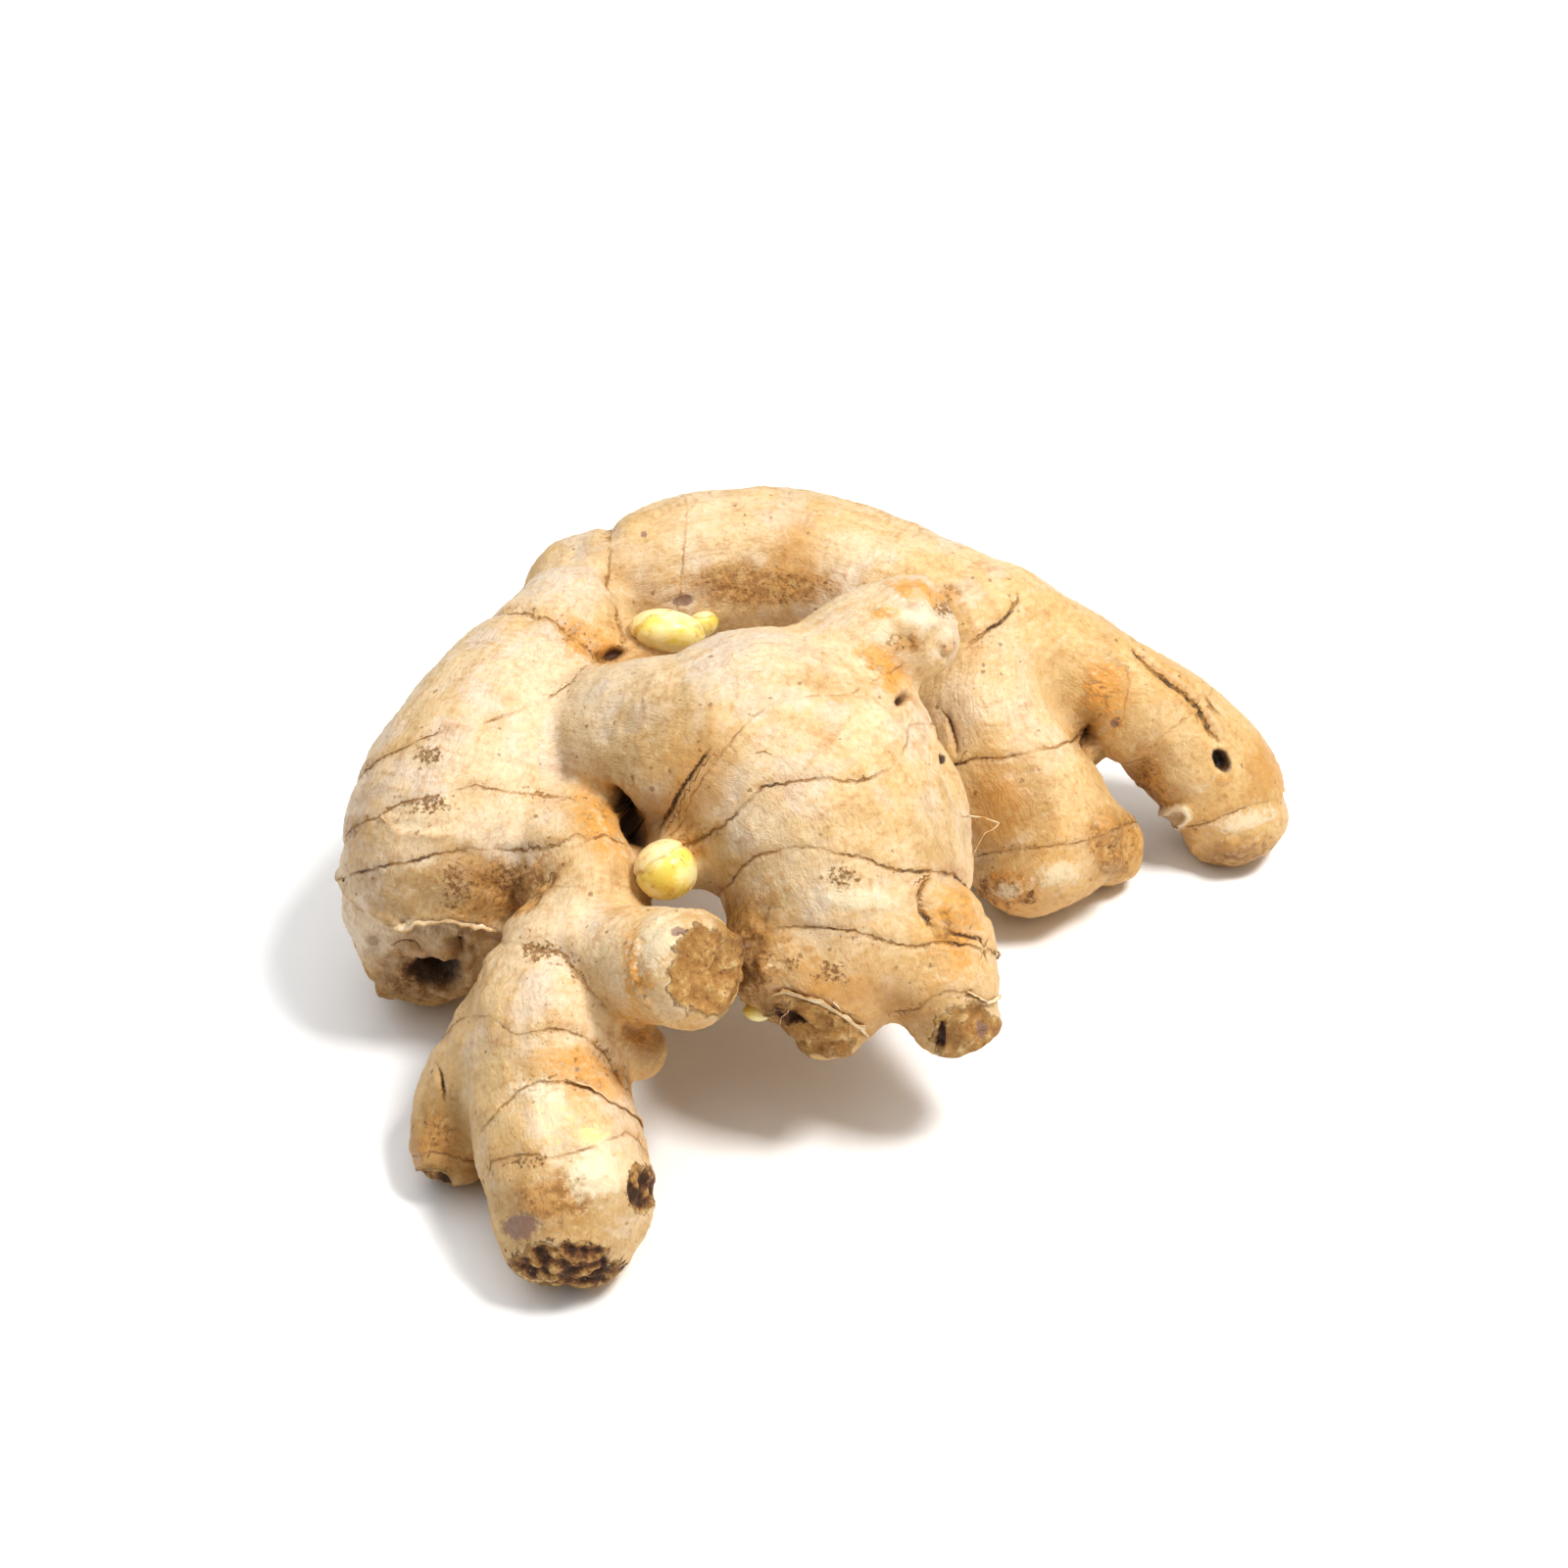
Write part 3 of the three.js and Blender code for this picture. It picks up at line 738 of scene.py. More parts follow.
def mark_scars(skin, tree, normals):
    """Fills a field for each kind of mark, over 0 inside it, and returns the rise and fall."""
    u, v, _ = to_picture(skin.points)
    sight = skin.points - EYE
    facing = (normals * sight).sum(1) / np.linalg.norm(sight, axis=1)
    rise = np.zeros(len(u))
    for field in MARK_FIELDS:
        skin.marks[field] = np.full(len(u), -1.0)
    skin.marks["spokes"] = np.zeros(len(u))
    wobble = soft_noise(skin.points, 2.2, 5) * 0.22 + soft_noise(skin.points, 6.0, 6) * 0.12
    for kind, middle, half, turn in MARKS.values():
        hit = nearest_in_picture(skin, tree, normals, middle)
        reach = max(half) / PIXELS_PER_MM
        near = (np.linalg.norm(skin.points - hit, axis=1) < reach * 1.7 + 1.5) & (facing < 0.25)
        c, s = np.cos(np.radians(turn)), np.sin(np.radians(turn))
        du, dv = u[near] - middle[0], v[near] - middle[1]
        q = np.hypot((du * c + dv * s) / half[0], (dv * c - du * s) / half[1]) + wobble[near]
        inside = 1 - q
        here = skin.points[near]
        if kind == "knob":
            rise[near] += min(reach * 0.34, 2.0) * smooth_step(1.05, 0.15, q)
            rise[near] -= 0.3 * np.exp(-(((q - 1.0) / 0.16) ** 2))
            kind, inside = "stain", inside * 0.6
        elif kind == "pit":
            rise[near] -= min(reach * 0.9, 6.0) * smooth_step(1.0, 0.35, q)
        elif kind == "shade":
            rise[near] -= min(reach * 0.8, 4.5) * smooth_step(1.0, 0.1, q)
        elif kind == "folds":
            wave = np.sin((du * 0.9 + dv * 0.35) / 8.5 + soft_noise(here, 6.0, 15) * 2.2)
            rise[near] += smooth_step(1.0, 0.6, q) * (wave * 0.8 + soft_noise(here, 3.0, 16) * 0.6)
            rise[near] -= 1.3 * smooth_step(1.0, 0.8, q)
        elif kind == "broken":
            swirl = np.arctan2(dv, du) * 3.4 + q * 2.0
            spokes = soft_noise(np.stack((swirl, q * 1.6, q * 0), 1), 1.0, 9)
            spokes += 0.5 * soft_noise(np.stack((swirl * 2.2, q * 2.4, q * 0), 1), 1.0, 19)
            lumps = soft_noise(here, 3.4, 10) * 0.7 + soft_noise(here, 1.7, 12) * 0.25
            rise[near] += 0.4 * np.exp(-(((q - 0.98) / 0.13) ** 2))
            rise[near] += smooth_step(0.95, 0.6, q) * (spokes * 0.4 + lumps - 0.3)
            skin.marks["spokes"][near] = spokes
        elif kind == "scar":
            rise[near] += 0.3 * np.exp(-(((q - 1.0) / 0.15) ** 2)) + smooth_step(1.0, 0.7, q) * (
                soft_noise(here, 1.8, 11) * 1.0 + soft_noise(here, 3.6, 13) * 0.9 - 0.5)
        elif kind == "rough":
            rise[near] += smooth_step(1.0, 0.6, q) * (
                soft_noise(here, 3.4, 17) * 0.9 + soft_noise(here, 1.8, 18) * 0.5)
        elif kind in ("crust", "bark", "rust"):
            rise[near] += smooth_step(1.0, 0.5, q) * (0.06 + soft_noise(here, 1.6, 14) * 0.28)
        elif kind in ("bare", "spot"):
            rise[near] -= 0.25 * smooth_step(1.0, 0.85, q)
        elif kind == "white":
            rise[near] += 0.2 * smooth_step(1.0, 0.8, q)
        elif kind == "cork":
            rise[near] += 1.0 * smooth_step(1.1, 0.75, q) - 0.8 * smooth_step(0.7, 0.4, q)
        if kind in skin.marks:
            skin.marks[kind][near] = np.maximum(skin.marks[kind][near], inside)
    return rise


def weathering_and_shade(skin, tree, normals):
    """How much each point's skin is darkened and warmed by age and soil, and by painted shade near the
    neck.
    """
    u, v, _ = to_picture(skin.points)
    total = np.zeros(len(u))
    wobble = soft_noise(skin.points, 5.0, 7) * 0.35 + soft_noise(skin.points, 2.0, 8) * 0.15
    for middle, half, turn, amount in WEATHERED_AND_SHADED:
        hit = nearest_in_picture(skin, tree, normals, middle)
        near = np.linalg.norm(skin.points - hit, axis=1) < max(half) / PIXELS_PER_MM * 1.6 + 2.0
        c, s = np.cos(np.radians(turn)), np.sin(np.radians(turn))
        du, dv = u[near] - middle[0], v[near] - middle[1]
        q = np.hypot((du * c + dv * s) / half[0], (dv * c - du * s) / half[1]) + wobble[near]
        total[near] = np.maximum(total[near], amount * smooth_step(1.15, 0.45, q))
    return total


def tone_of(skin, which, normals):
    """How warm and how deep the skin's colour is: pale on the left, tan and orange on the right."""
    warmth = {
        "left_body": 0.12, "left_heel": 0.3, "rear_arch": 0.36, "right_lobe": 0.52,
        "right_heel": 0.6, "right_nub": 0.6, "right_finger": 0.66, "middle_neck": 0.18,
        "crown": 0.5, "middle_lobe": 0.3, "middle_flank": 0.3, "middle_nub_left": 0.5,
        "middle_nub_right": 0.5, "broken_stub": 0.22, "front_finger": 0.3, "front_stub_left": 0.4,
        "front_stub_right": 0.4, "front_knob": 0.5, "bud_back": 0.4, "bud_front": 0.5,
    }
    tone = np.array([warmth[finger.name] for finger in fingers])[which]
    height = skin.points[:, 2]
    # Painted shade: the tone deepens towards the table and on undersides that face down
    tone = tone + 0.35 * smooth_step(30, 6, height) + 0.6 * smooth_step(-0.1, -0.6, normals[:, 2])
    tone = skin.smoothed(tone, 40)
    return tone + 0.16 * soft_noise(skin.points, 13.0, 21)


def grain_of(skin, which, section):
    """Coordinates that run along each finger and round it, for fibres and wrinkles."""
    grain = np.zeros_like(skin.points)
    for i, finger in enumerate(fingers):
        own = which == i
        s = section[own]
        rel = skin.points[own] - finger.middles[s]
        grain[own, 0] = finger.along[s] + (rel * finger.ahead[s]).sum(1) + 60 * i
        grain[own, 1] = (rel * finger.side[s]).sum(1)
        grain[own, 2] = (rel * finger.other_side[s]).sum(1)
    return grain


def flow_of(skin, out):
    """The way that the nearest fingers run at each point, along the skin."""
    flow = np.zeros_like(skin.points)
    for finger in fingers:
        d, _, near = finger.distance(skin.points)
        flow += np.exp(-np.clip(d + 3.0, 0, 40) / 1.6)[:, None] * finger.ahead[near]
    flow -= (flow * out).sum(1)[:, None] * out
    return flow / np.maximum(np.linalg.norm(flow, axis=1), 1e-6)[:, None]


def streaks(skin, flow, step, rounds, seed):
    """Noise drawn out along the skin in the way of a flow, about -2 to 2."""
    lookup = KDTree(len(skin.points))
    for i, p in enumerate(skin.points):
        lookup.insert(p, i)
    lookup.balance()
    ahead = np.array([lookup.find(p)[1] for p in skin.points + flow * step])
    behind = np.array([lookup.find(p)[1] for p in skin.points - flow * step])
    value = np.random.default_rng(seed).normal(size=len(skin.points))
    for _ in range(rounds):
        value = (value + value[ahead] + value[behind]) / 3
    value = skin.smoothed(value, 1)
    return (value - value.mean()) / value.std()


def voxel_skin(voxel):
    """The CAD rhizome's shape as an even net of small squares."""
    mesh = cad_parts[NODE].data.copy()
    work = bmesh.new()
    work.from_mesh(mesh)
    bmesh.ops.remove_doubles(work, verts=work.verts, dist=0.00002)
    work.to_mesh(mesh)
    work.free()
    rough = bpy.data.objects.new("rough_skin", mesh)
    bpy.context.scene.collection.objects.link(rough)
    net = rough.modifiers.new("net", "REMESH")
    net.mode = "VOXEL"
    net.voxel_size = voxel * MM
    ready = rough.evaluated_get(bpy.context.evaluated_depsgraph_get())
    even = bpy.data.meshes.new_from_object(ready)
    bpy.data.objects.remove(rough)
    bpy.data.meshes.remove(mesh)
    return even


def grow_skin(sizes):
    """Lays the skin over the fingers with its lumps, rings, cracks and scars."""
    skin = Skin(voxel_skin(sizes.net))
    skin.points = skin.smoothed(skin.points, 4)
    for _ in range(3):
        d, out, which, section, settled = skin_distance(skin.points, sizes.fillet)
        steep = np.maximum((out * out).sum(1), 0.3)
        move = np.clip(d / steep, -2.5, 2.5)
        skin.points = skin.points - out * move[:, None]
        skin.points = skin.smoothed(skin.points, 1)
    normals = skin.normals()
    grain = grain_of(skin, which, section)
    flow = flow_of(skin, normals)
    fibres = streaks(skin, flow, 1.7, 7, 31)
    wrinkles = streaks(skin, np.cross(flow, normals), 1.3, 3, 32)
    swelling = (soft_noise(skin.points, 15.0, 1) * 0.6 + soft_noise(skin.points, 7.0, 2) * 0.5
                + soft_noise(skin.points, 3.2, 3) * 0.16) * sizes.lumps
    skin.points = skin.points + normals * swelling[:, None]
    normals = skin.normals()
    tree = skin.tree()
    rise, stretches = mark_lines(skin, tree)
    rise = rise * sizes.rings + mark_scars(skin, tree, normals) + fibres * 0.045 + wrinkles * 0.04
    skin.points = skin.points + normals * rise[:, None]
    # How far each point lies below its smoothed surroundings, for painted shade in hollows and creases
    wide = skin.smoothed(skin.points, 30)
    skin.marks["recess_shade"] = ((wide - skin.points) * normals).sum(1)
    skin.marks.update(fibres=fibres, wrinkles=wrinkles, settled=settled)
    skin.marks["tone"] = tone_of(skin, which, normals)
    skin.marks["weather_and_shade"] = weathering_and_shade(skin, tree, normals)
    skin.marks["grain"] = grain
    skin.points[:, 2] = np.maximum(skin.points[:, 2], CLEAR_OF_TABLE)
    return skin, stretches


def mesh_from(name, points, faces):
    """A smooth mesh in metres from points in millimetres."""
    mesh = bpy.data.meshes.new(name)
    mesh.from_pydata((points * MM).tolist(), [], [list(f) for f in faces])
    mesh.polygons.foreach_set("use_smooth", [True] * len(mesh.polygons))
    mesh.update()
    return mesh


def set_field(mesh, name, values):
    """Stores a value or a direction for each point of a mesh under a name."""
    kind = "FLOAT_VECTOR" if values.ndim == 2 else "FLOAT"
    field = mesh.attributes.new(name, kind, "POINT")
    field.data.foreach_set("vector" if values.ndim == 2 else "value", values.ravel())


def place(name, mesh, material, body=BODY):
    """Puts a piece in the scene with its material, on the rhizome."""
    old = bpy.data.objects.get(name)
    if old:
        bpy.data.objects.remove(old)
    mesh.materials.append(material)
    piece = bpy.data.objects.new(name, mesh)
    bpy.context.scene.collection.objects.link(piece)
    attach(piece, body)
    return piece


class Wiring:
    """Adds shader nodes to a tree and joins them."""

    def __init__(self, tree):
        self.tree = tree
        self.nodes = tree.nodes
        self.links = tree.links

    def feed(self, socket, value):
        """Joins a socket to another or sets its value."""
        if isinstance(value, bpy.types.NodeSocket):
            self.links.new(value, socket)
        elif value is not None:
            if socket.type == "RGBA" and len(value) == 3:
                value = (*value, 1)
            socket.default_value = value

    def add(self, kind, inputs=(), **settings):
        """A new node with its inputs and settings."""
        made = self.nodes.new("ShaderNode" + kind)
        for key, value in settings.items():
            setattr(made, key, value)
        for key, value in dict(inputs).items():
            self.feed(made.inputs[key], value)
        return made

    def math(self, operation, a, b=None, c=None):
        """The outcome of a sum on one to three values."""
        return self.add("Math", {0: a, 1: b, 2: c}, operation=operation).outputs[0]

    def step(self, value, low, high, start=0.0, end=1.0):
        """A soft step from start to end as the value goes from low to high."""
        return self.add("MapRange", {"Value": value, "From Min": low, "From Max": high,
                                     "To Min": start, "To Max": end},
                        interpolation_type="SMOOTHSTEP").outputs[0]

    def mix(self, share, a, b, how="MIX"):
        """Colour a with a share of colour b over it."""
        made = self.add("Mix", data_type="RGBA", blend_type=how)
        self.feed(made.inputs[0], share)
        self.feed(made.inputs[6], a)
        self.feed(made.inputs[7], b)
        return made.outputs[2]

    def field(self, name, output="Fac"):
        """A value that each point of the mesh holds."""
        return self.add("Attribute", attribute_name=name).outputs[output]

    def noise(self, place, scale, detail=3.0, rough=0.55):
        """Cloudy noise from 0 to 1."""
        return self.add("TexNoise", {"Vector": place, "Scale": scale, "Detail": detail,
                                     "Roughness": rough}).outputs["Fac"]

    def stretched(self, place, scale):
        """A place scaled along its own axes."""
        return self.add("Mapping", {"Vector": place, "Scale": scale}).outputs[0]


def new_group(name, inputs, outputs):
    """A node group with named sockets, each given as a kind and for inputs a default."""
    group = bpy.data.node_groups.new(name, "ShaderNodeTree")
    for key, (kind, default) in inputs.items():
        socket = group.interface.new_socket(key, in_out="INPUT", socket_type="NodeSocket" + kind)
        if default is not None:
            socket.default_value = default
    for key, kind in outputs.items():
        group.interface.new_socket(key, in_out="OUTPUT", socket_type="NodeSocket" + kind)
    wires = Wiring(group)
    entry = group.nodes.new("NodeGroupInput")
    exit_node = group.nodes.new("NodeGroupOutput")
    return group, wires, entry.outputs, exit_node.inputs


def fibre_group():
    """Fine fibres that run along a finger."""
    group, w, given, wanted = new_group(
        "ginger fibres", {"Grain": ("Vector", None), "Fineness": ("Float", 1.0)},
        {"Fibres": "Float"})
    bent = w.add("TexNoise", {"Vector": given["Grain"], "Scale": 0.35, "Detail": 1.0})
    strayed = w.add("VectorMath", {0: bent.outputs["Color"], 1: (2.5, 2.5, 2.5), 2: given["Grain"]},
                    operation="MULTIPLY_ADD").outputs[0]
    lengthwise = w.stretched(strayed, (0.16, 1.0, 1.0))
    fineness = w.math("MULTIPLY", given["Fineness"], 2.0)
    w.feed(wanted["Fibres"], w.noise(lengthwise, fineness, 4.0, 0.65))
    return group


def speck_group():
    """Small dark specks of uneven shape, and crumbs of crust where the skin is rough."""
    group, w, given, wanted = new_group(
        "ginger specks", {"Place": ("Vector", None), "Roughness": ("Float", 0.0)},
        {"Specks": "Float", "Crumbs": "Float"})
    bent = w.add("TexNoise", {"Vector": given["Place"], "Scale": 1300.0, "Detail": 3.0})
    strayed = w.add("VectorMath", {0: bent.outputs["Color"], 1: (0.0011, 0.0011, 0.0011),
                                   2: given["Place"]}, operation="MULTIPLY_ADD").outputs[0]
    crowd = w.noise(given["Place"], 70.0, 3.0)
    total = None
    for spacing, share, reach in ((640.0, 0.80, 0.30), (290.0, 0.90, 0.20)):
        cells = w.add("TexVoronoi", {"Vector": strayed, "Scale": spacing, "Randomness": 1.0})
        luck = w.add("SeparateColor", {"Color": cells.outputs["Color"]}).outputs["Red"]
        luck = w.math("ADD", luck, w.math("MULTIPLY_ADD", crowd, 0.5, -0.25))
        size = w.step(luck, share, share + 0.2, 0.0, reach)
        dot = w.step(w.math("SUBTRACT", cells.outputs["Distance"], size), 0.02, -0.10)
        total = dot if total is None else w.math("MAXIMUM", total, dot)
    clumps = w.noise(given["Place"], 1300.0, 5.0, 0.68)
    amount = w.math("MULTIPLY_ADD", given["Roughness"], 0.22, clumps)
    amount = w.math("MULTIPLY_ADD", crowd, 0.20, amount)
    w.feed(wanted["Specks"], total)
    w.feed(wanted["Crumbs"], w.step(amount, 0.74, 0.92))
    return group


def group_node(wires, group, **inputs):
    """Adds a node group and gives its outputs."""
    made = wires.nodes.new("ShaderNodeGroup")
    made.node_tree = group
    for key, value in inputs.items():
        wires.feed(made.inputs[key], value)
    return made.outputs


def new_material(name):
    """A fresh material with its wiring and its shader."""
    old = bpy.data.materials.get(name)
    if old:
        bpy.data.materials.remove(old)
    material = bpy.data.materials.new(name)
    material.use_nodes = True
    wires = Wiring(material.node_tree)
    shader = material.node_tree.nodes["Principled BSDF"]
    return material, wires, shader


def shared_group(name, build):
    """A node group by its name, built when it is first used."""
    return bpy.data.node_groups.get(name) or build()


def skin_material(colours):
    """The rhizome's skin: pale tan, fibrous, stained at its rings and brown where it is torn."""
    material, w, shader = new_material("ginger skin")
    place_on = w.add("TexCoord").outputs["Object"]
    grain = w.field("grain", "Vector")
    tone, recess_shade, settled = w.field("tone"), w.field("recess_shade"), w.field("settled")
    weather_and_shade = w.field("weather_and_shade")
    gap, far = w.field("gap"), w.field("far")
    dark, stain = w.field("line_dark"), w.field("line_stain")
    streak, wrinkle = w.field("fibres"), w.field("wrinkles")
    ragged = w.noise(place_on, 900.0, 4.0, 0.65)
    patches = w.noise(place_on, 240.0, 4.0, 0.6)
    shades = {name: tuple(getattr(colours, name)) for name in colours.__annotations__}

    def mark(field, soft=0.10, rag=0.5, on=ragged):
        edge = w.math("MULTIPLY_ADD", w.math("SUBTRACT", on, 0.5), rag, w.field(field))
        return w.step(edge, -soft / 2, soft)

    broken, scar, pit = mark("broken"), mark("scar", 0.10, 1.1), mark("pit", 0.25, 0.3)
    spot, bare, cork = mark("spot", 0.3, 1.6), mark("bare", 0.35, 2.6), mark("cork", 0.15)
    crust, stained = mark("crust", 0.7, 1.6), mark("stain", 0.9, 1.2, patches)
    bark, white = mark("bark", 0.5, 2.4, patches), mark("white", 0.7, 3.0)
    rust, soil = mark("rust", 0.5, 2.4), mark("soil", 0.8, 2.2)
    shade = mark("shade", 0.7, 0.4)

    fibre = group_node(w, shared_group("ginger fibres", fibre_group), Grain=grain,
                       Fineness=1.0)["Fibres"]
    fibre = w.mix(settled, (0.5, 0.5, 0.5), fibre)
    dirt = w.math("MAXIMUM", w.math("MULTIPLY", stain, 0.75), w.math("MULTIPLY", crust, 1.0))
    dirt = w.math("MAXIMUM", dirt, w.math("MULTIPLY", bark, 0.55))
    speck = group_node(w, shared_group("ginger specks", speck_group), Place=place_on,
                       Roughness=dirt)

    cloudy = w.noise(place_on, 55.0, 3.0, 0.5)
    warm = w.math("ADD", tone, w.math("MULTIPLY_ADD", cloudy, 0.9, -0.45))
    warm = w.math("MULTIPLY_ADD", patches, 0.36, w.math("SUBTRACT", warm, 0.18))
    warm = w.math("MULTIPLY_ADD", streak, 0.035, warm)
    colour = w.mix(w.step(warm, 0.0, 0.55), shades["pale"], shades["tan"])
    colour = w.mix(w.step(warm, 0.45, 1.15), colour, shades["orange"])
    bloom = w.math("MULTIPLY", w.step(w.noise(place_on, 100.0, 5.0, 0.62), 0.48, 0.62),
                   w.step(tone, 0.75, 0.1, 0.12, 0.75))
    colour = w.mix(bloom, colour, shades["bloom"])
    # Darkened where weathered, and painted shade in the hollow and on the neck
    worn_and_shaded = w.math("MULTIPLY_ADD", patches, 1.0, w.math("SUBTRACT", weather_and_shade, 0.5))
    colour = w.mix(w.step(worn_and_shaded, 0.0, 1.0, 0.0, 0.75), colour, shades["weathered"])
    colour = w.mix(w.step(streak, 0.3, 2.2, 0.0, 0.26), colour, shades["orange"], "MULTIPLY")
    colour = w.mix(w.step(wrinkle, 0.6, 2.4, 0.0, 0.28), colour, shades["stain"], "MULTIPLY")
    colour = w.mix(w.step(wrinkle, -0.6, -2.4, 0.0, 0.3), colour, shades["bloom"])
    colour = w.mix(w.step(fibre, 0.50, 0.68, 0.0, 0.30), colour, shades["orange"], "MULTIPLY")
    colour = w.mix(w.step(ragged, 0.48, 0.66, 0.0, 0.22), colour, shades["stain"], "MULTIPLY")
    colour = w.mix(w.step(ragged, 0.44, 0.32, 0.0, 0.25), colour, shades["white"])
    colour = w.mix(w.math("MULTIPLY", stained, 0.6), colour, shades["stain"])

    bark_streaks = w.math("MULTIPLY_ADD", streak, 0.08, ragged)
    bark_colour = w.mix(w.step(bark_streaks, 0.38, 0.62), shades["brown"], shades["stain"])
    bark_colour = w.mix(w.step(patches, 0.54, 0.64, 0.0, 0.5), bark_colour, shades["tan"])
    colour = w.mix(w.math("MULTIPLY", bark, w.step(bark_streaks, 0.70, 0.40, 0.35, 0.92)),
                   colour, bark_colour)
    rust_colour = w.mix(w.step(bark_streaks, 0.28, 0.50), shades["brown"], shades["rust"])
    rust_colour = w.mix(w.step(bark_streaks, 0.54, 0.72, 0.0, 0.5), rust_colour, shades["pale"])
    colour = w.mix(w.math("MULTIPLY", rust, w.step(patches, 0.36, 0.56, 0.5, 0.95)), colour,
                   rust_colour)
    soil_colour = w.mix(w.step(ragged, 0.40, 0.60), shades["crust"], shades["weathered"])
    colour = w.mix(w.math("MULTIPLY", soil, w.step(patches, 0.36, 0.60, 0.9, 0.5)), colour,
                   soil_colour)
    halo = w.math("MULTIPLY", stain, w.step(patches, 0.38, 0.60, 0.15, 1.0))
    colour = w.mix(w.math("MULTIPLY", halo, 0.6), colour, shades["stain"])
    # Painted shade: browner in hollows and creases
    colour = w.mix(w.step(recess_shade, 0.30, 2.0, 0.0, 0.75), colour, shades["brown"])
    colour = w.mix(w.math("MULTIPLY", speck["Specks"], 0.62), colour, shades["crust"])
    crumbs = w.math("MULTIPLY", speck["Crumbs"], w.step(dirt, 0.0, 0.4, 0.4, 1.0))
    colour = w.mix(w.step(crumbs, 0.0, 0.5, 0.0, 0.65), colour, shades["torn"])
    colour = w.mix(w.step(crumbs, 0.3, 0.9, 0.0, 0.75), colour, shades["crust"])
    flesh = w.mix(w.step(patches, 0.4, 0.6), shades["bare"], shades["pale"])
    colour = w.mix(w.math("MULTIPLY", bare, 0.88), colour, flesh)
    colour = w.mix(w.math("MULTIPLY", white, 0.75), colour, shades["white"])

    torn = w.math("MULTIPLY_ADD", w.noise(place_on, 430.0, 5.0, 0.65), 0.75, 0.125)
    torn = w.math("MULTIPLY_ADD", w.field("spokes"), 0.085, torn)
    torn_colour = w.mix(w.step(torn, 0.40, 0.54), shades["brown"], shades["torn"])
    torn_colour = w.mix(w.step(torn, 0.52, 0.64, 0.0, 0.8), torn_colour, shades["tan"])
    torn_colour = w.mix(w.step(torn, 0.62, 0.72, 0.0, 0.8), torn_colour, shades["white"])
    # Painted shade in the hollows of torn ends
    torn_colour = w.mix(w.step(recess_shade, -0.1, 0.8, 0.0, 0.9), torn_colour, shades["brown"])
    torn_colour = w.mix(w.step(ragged, 0.42, 0.34, 0.0, 0.8), torn_colour, shades["crust"])
    colour = w.mix(broken, colour, torn_colour)
    # Painted shade: scars are darker where they sink
    raised = w.math("MULTIPLY_ADD", recess_shade, -0.22, torn)
    scar_colour = w.mix(w.step(raised, 0.44, 0.56), shades["dark"], shades["crust"])
    scar_colour = w.mix(w.step(raised, 0.54, 0.62), scar_colour, shades["torn"])
    scar_colour = w.mix(w.step(raised, 0.62, 0.72), scar_colour, shades["tan"])
    colour = w.mix(scar, colour, scar_colour)
    colour = w.mix(w.math("MULTIPLY", cork, 0.8), colour, shades["white"])
    colour = w.mix(w.step(w.field("cork"), 0.30, 0.50, 0.0, 0.5), colour, shades["brown"])
    colour = w.mix(w.math("MULTIPLY", spot, 0.85), colour, shades["spot"])
    colour = w.mix(w.math("MULTIPLY", shade, 0.8), colour, shades["brown"])
    # Painted shade: the crevices of the shade marks and the holes of the pits are painted near black
    deep = w.step(w.math("MULTIPLY_ADD", ragged, 0.3, w.field("shade")), 0.35, 0.85)
    colour = w.mix(w.math("MULTIPLY", deep, 0.9), colour, shades["dark"])
    colour = w.mix(w.math("MULTIPLY", pit, 0.95), colour, shades["dark"])
    colour = w.mix(w.step(w.field("pit"), 0.25, 0.8), colour, shades["deep"])

    wavering = w.math("MULTIPLY_ADD", w.math("SUBTRACT", ragged, 0.5), 1.1, gap)
    uneven = w.math("MULTIPLY", dark, w.step(w.noise(place_on, 330.0, 3.0), 0.36, 0.62, 0.35, 1.25))
    on_line = w.step(far, 2.2, 1.2)
    line = w.math("MULTIPLY", w.step(w.math("ABSOLUTE", wavering), 0.34, 0.06), on_line)
    line_colour = w.mix(w.step(uneven, 0.45, 0.9), shades["brown"], shades["dark"])
    # Painted highlight: a pale band along the raised side of each line
    lip_highlight = w.step(w.math("ABSOLUTE", w.math("SUBTRACT", wavering, 0.75)), 0.45, 0.05)
    lip_highlight = w.math("MULTIPLY", w.math("MULTIPLY", lip_highlight, on_line), w.step(dark, 0.1, 0.7, 0.0, 0.18))
    colour = w.mix(lip_highlight, colour, shades["bloom"])
    colour = w.mix(w.math("MULTIPLY", line, w.step(uneven, 0.0, 0.5, 0.0, 0.92)), colour,
                   line_colour)
    w.feed(shader.inputs["Base Color"], colour)

    matt = w.step(cloudy, 0.3, 0.7, 0.40, 0.52)
    crusty = w.math("MAXIMUM", w.math("MAXIMUM", broken, scar), crumbs)
    matt = w.math("MULTIPLY_ADD", crusty, 0.3, matt)
    matt = w.math("SUBTRACT", matt, w.math("MULTIPLY", w.math("MAXIMUM", bare, spot), 0.14))
    w.feed(shader.inputs["Roughness"], matt)

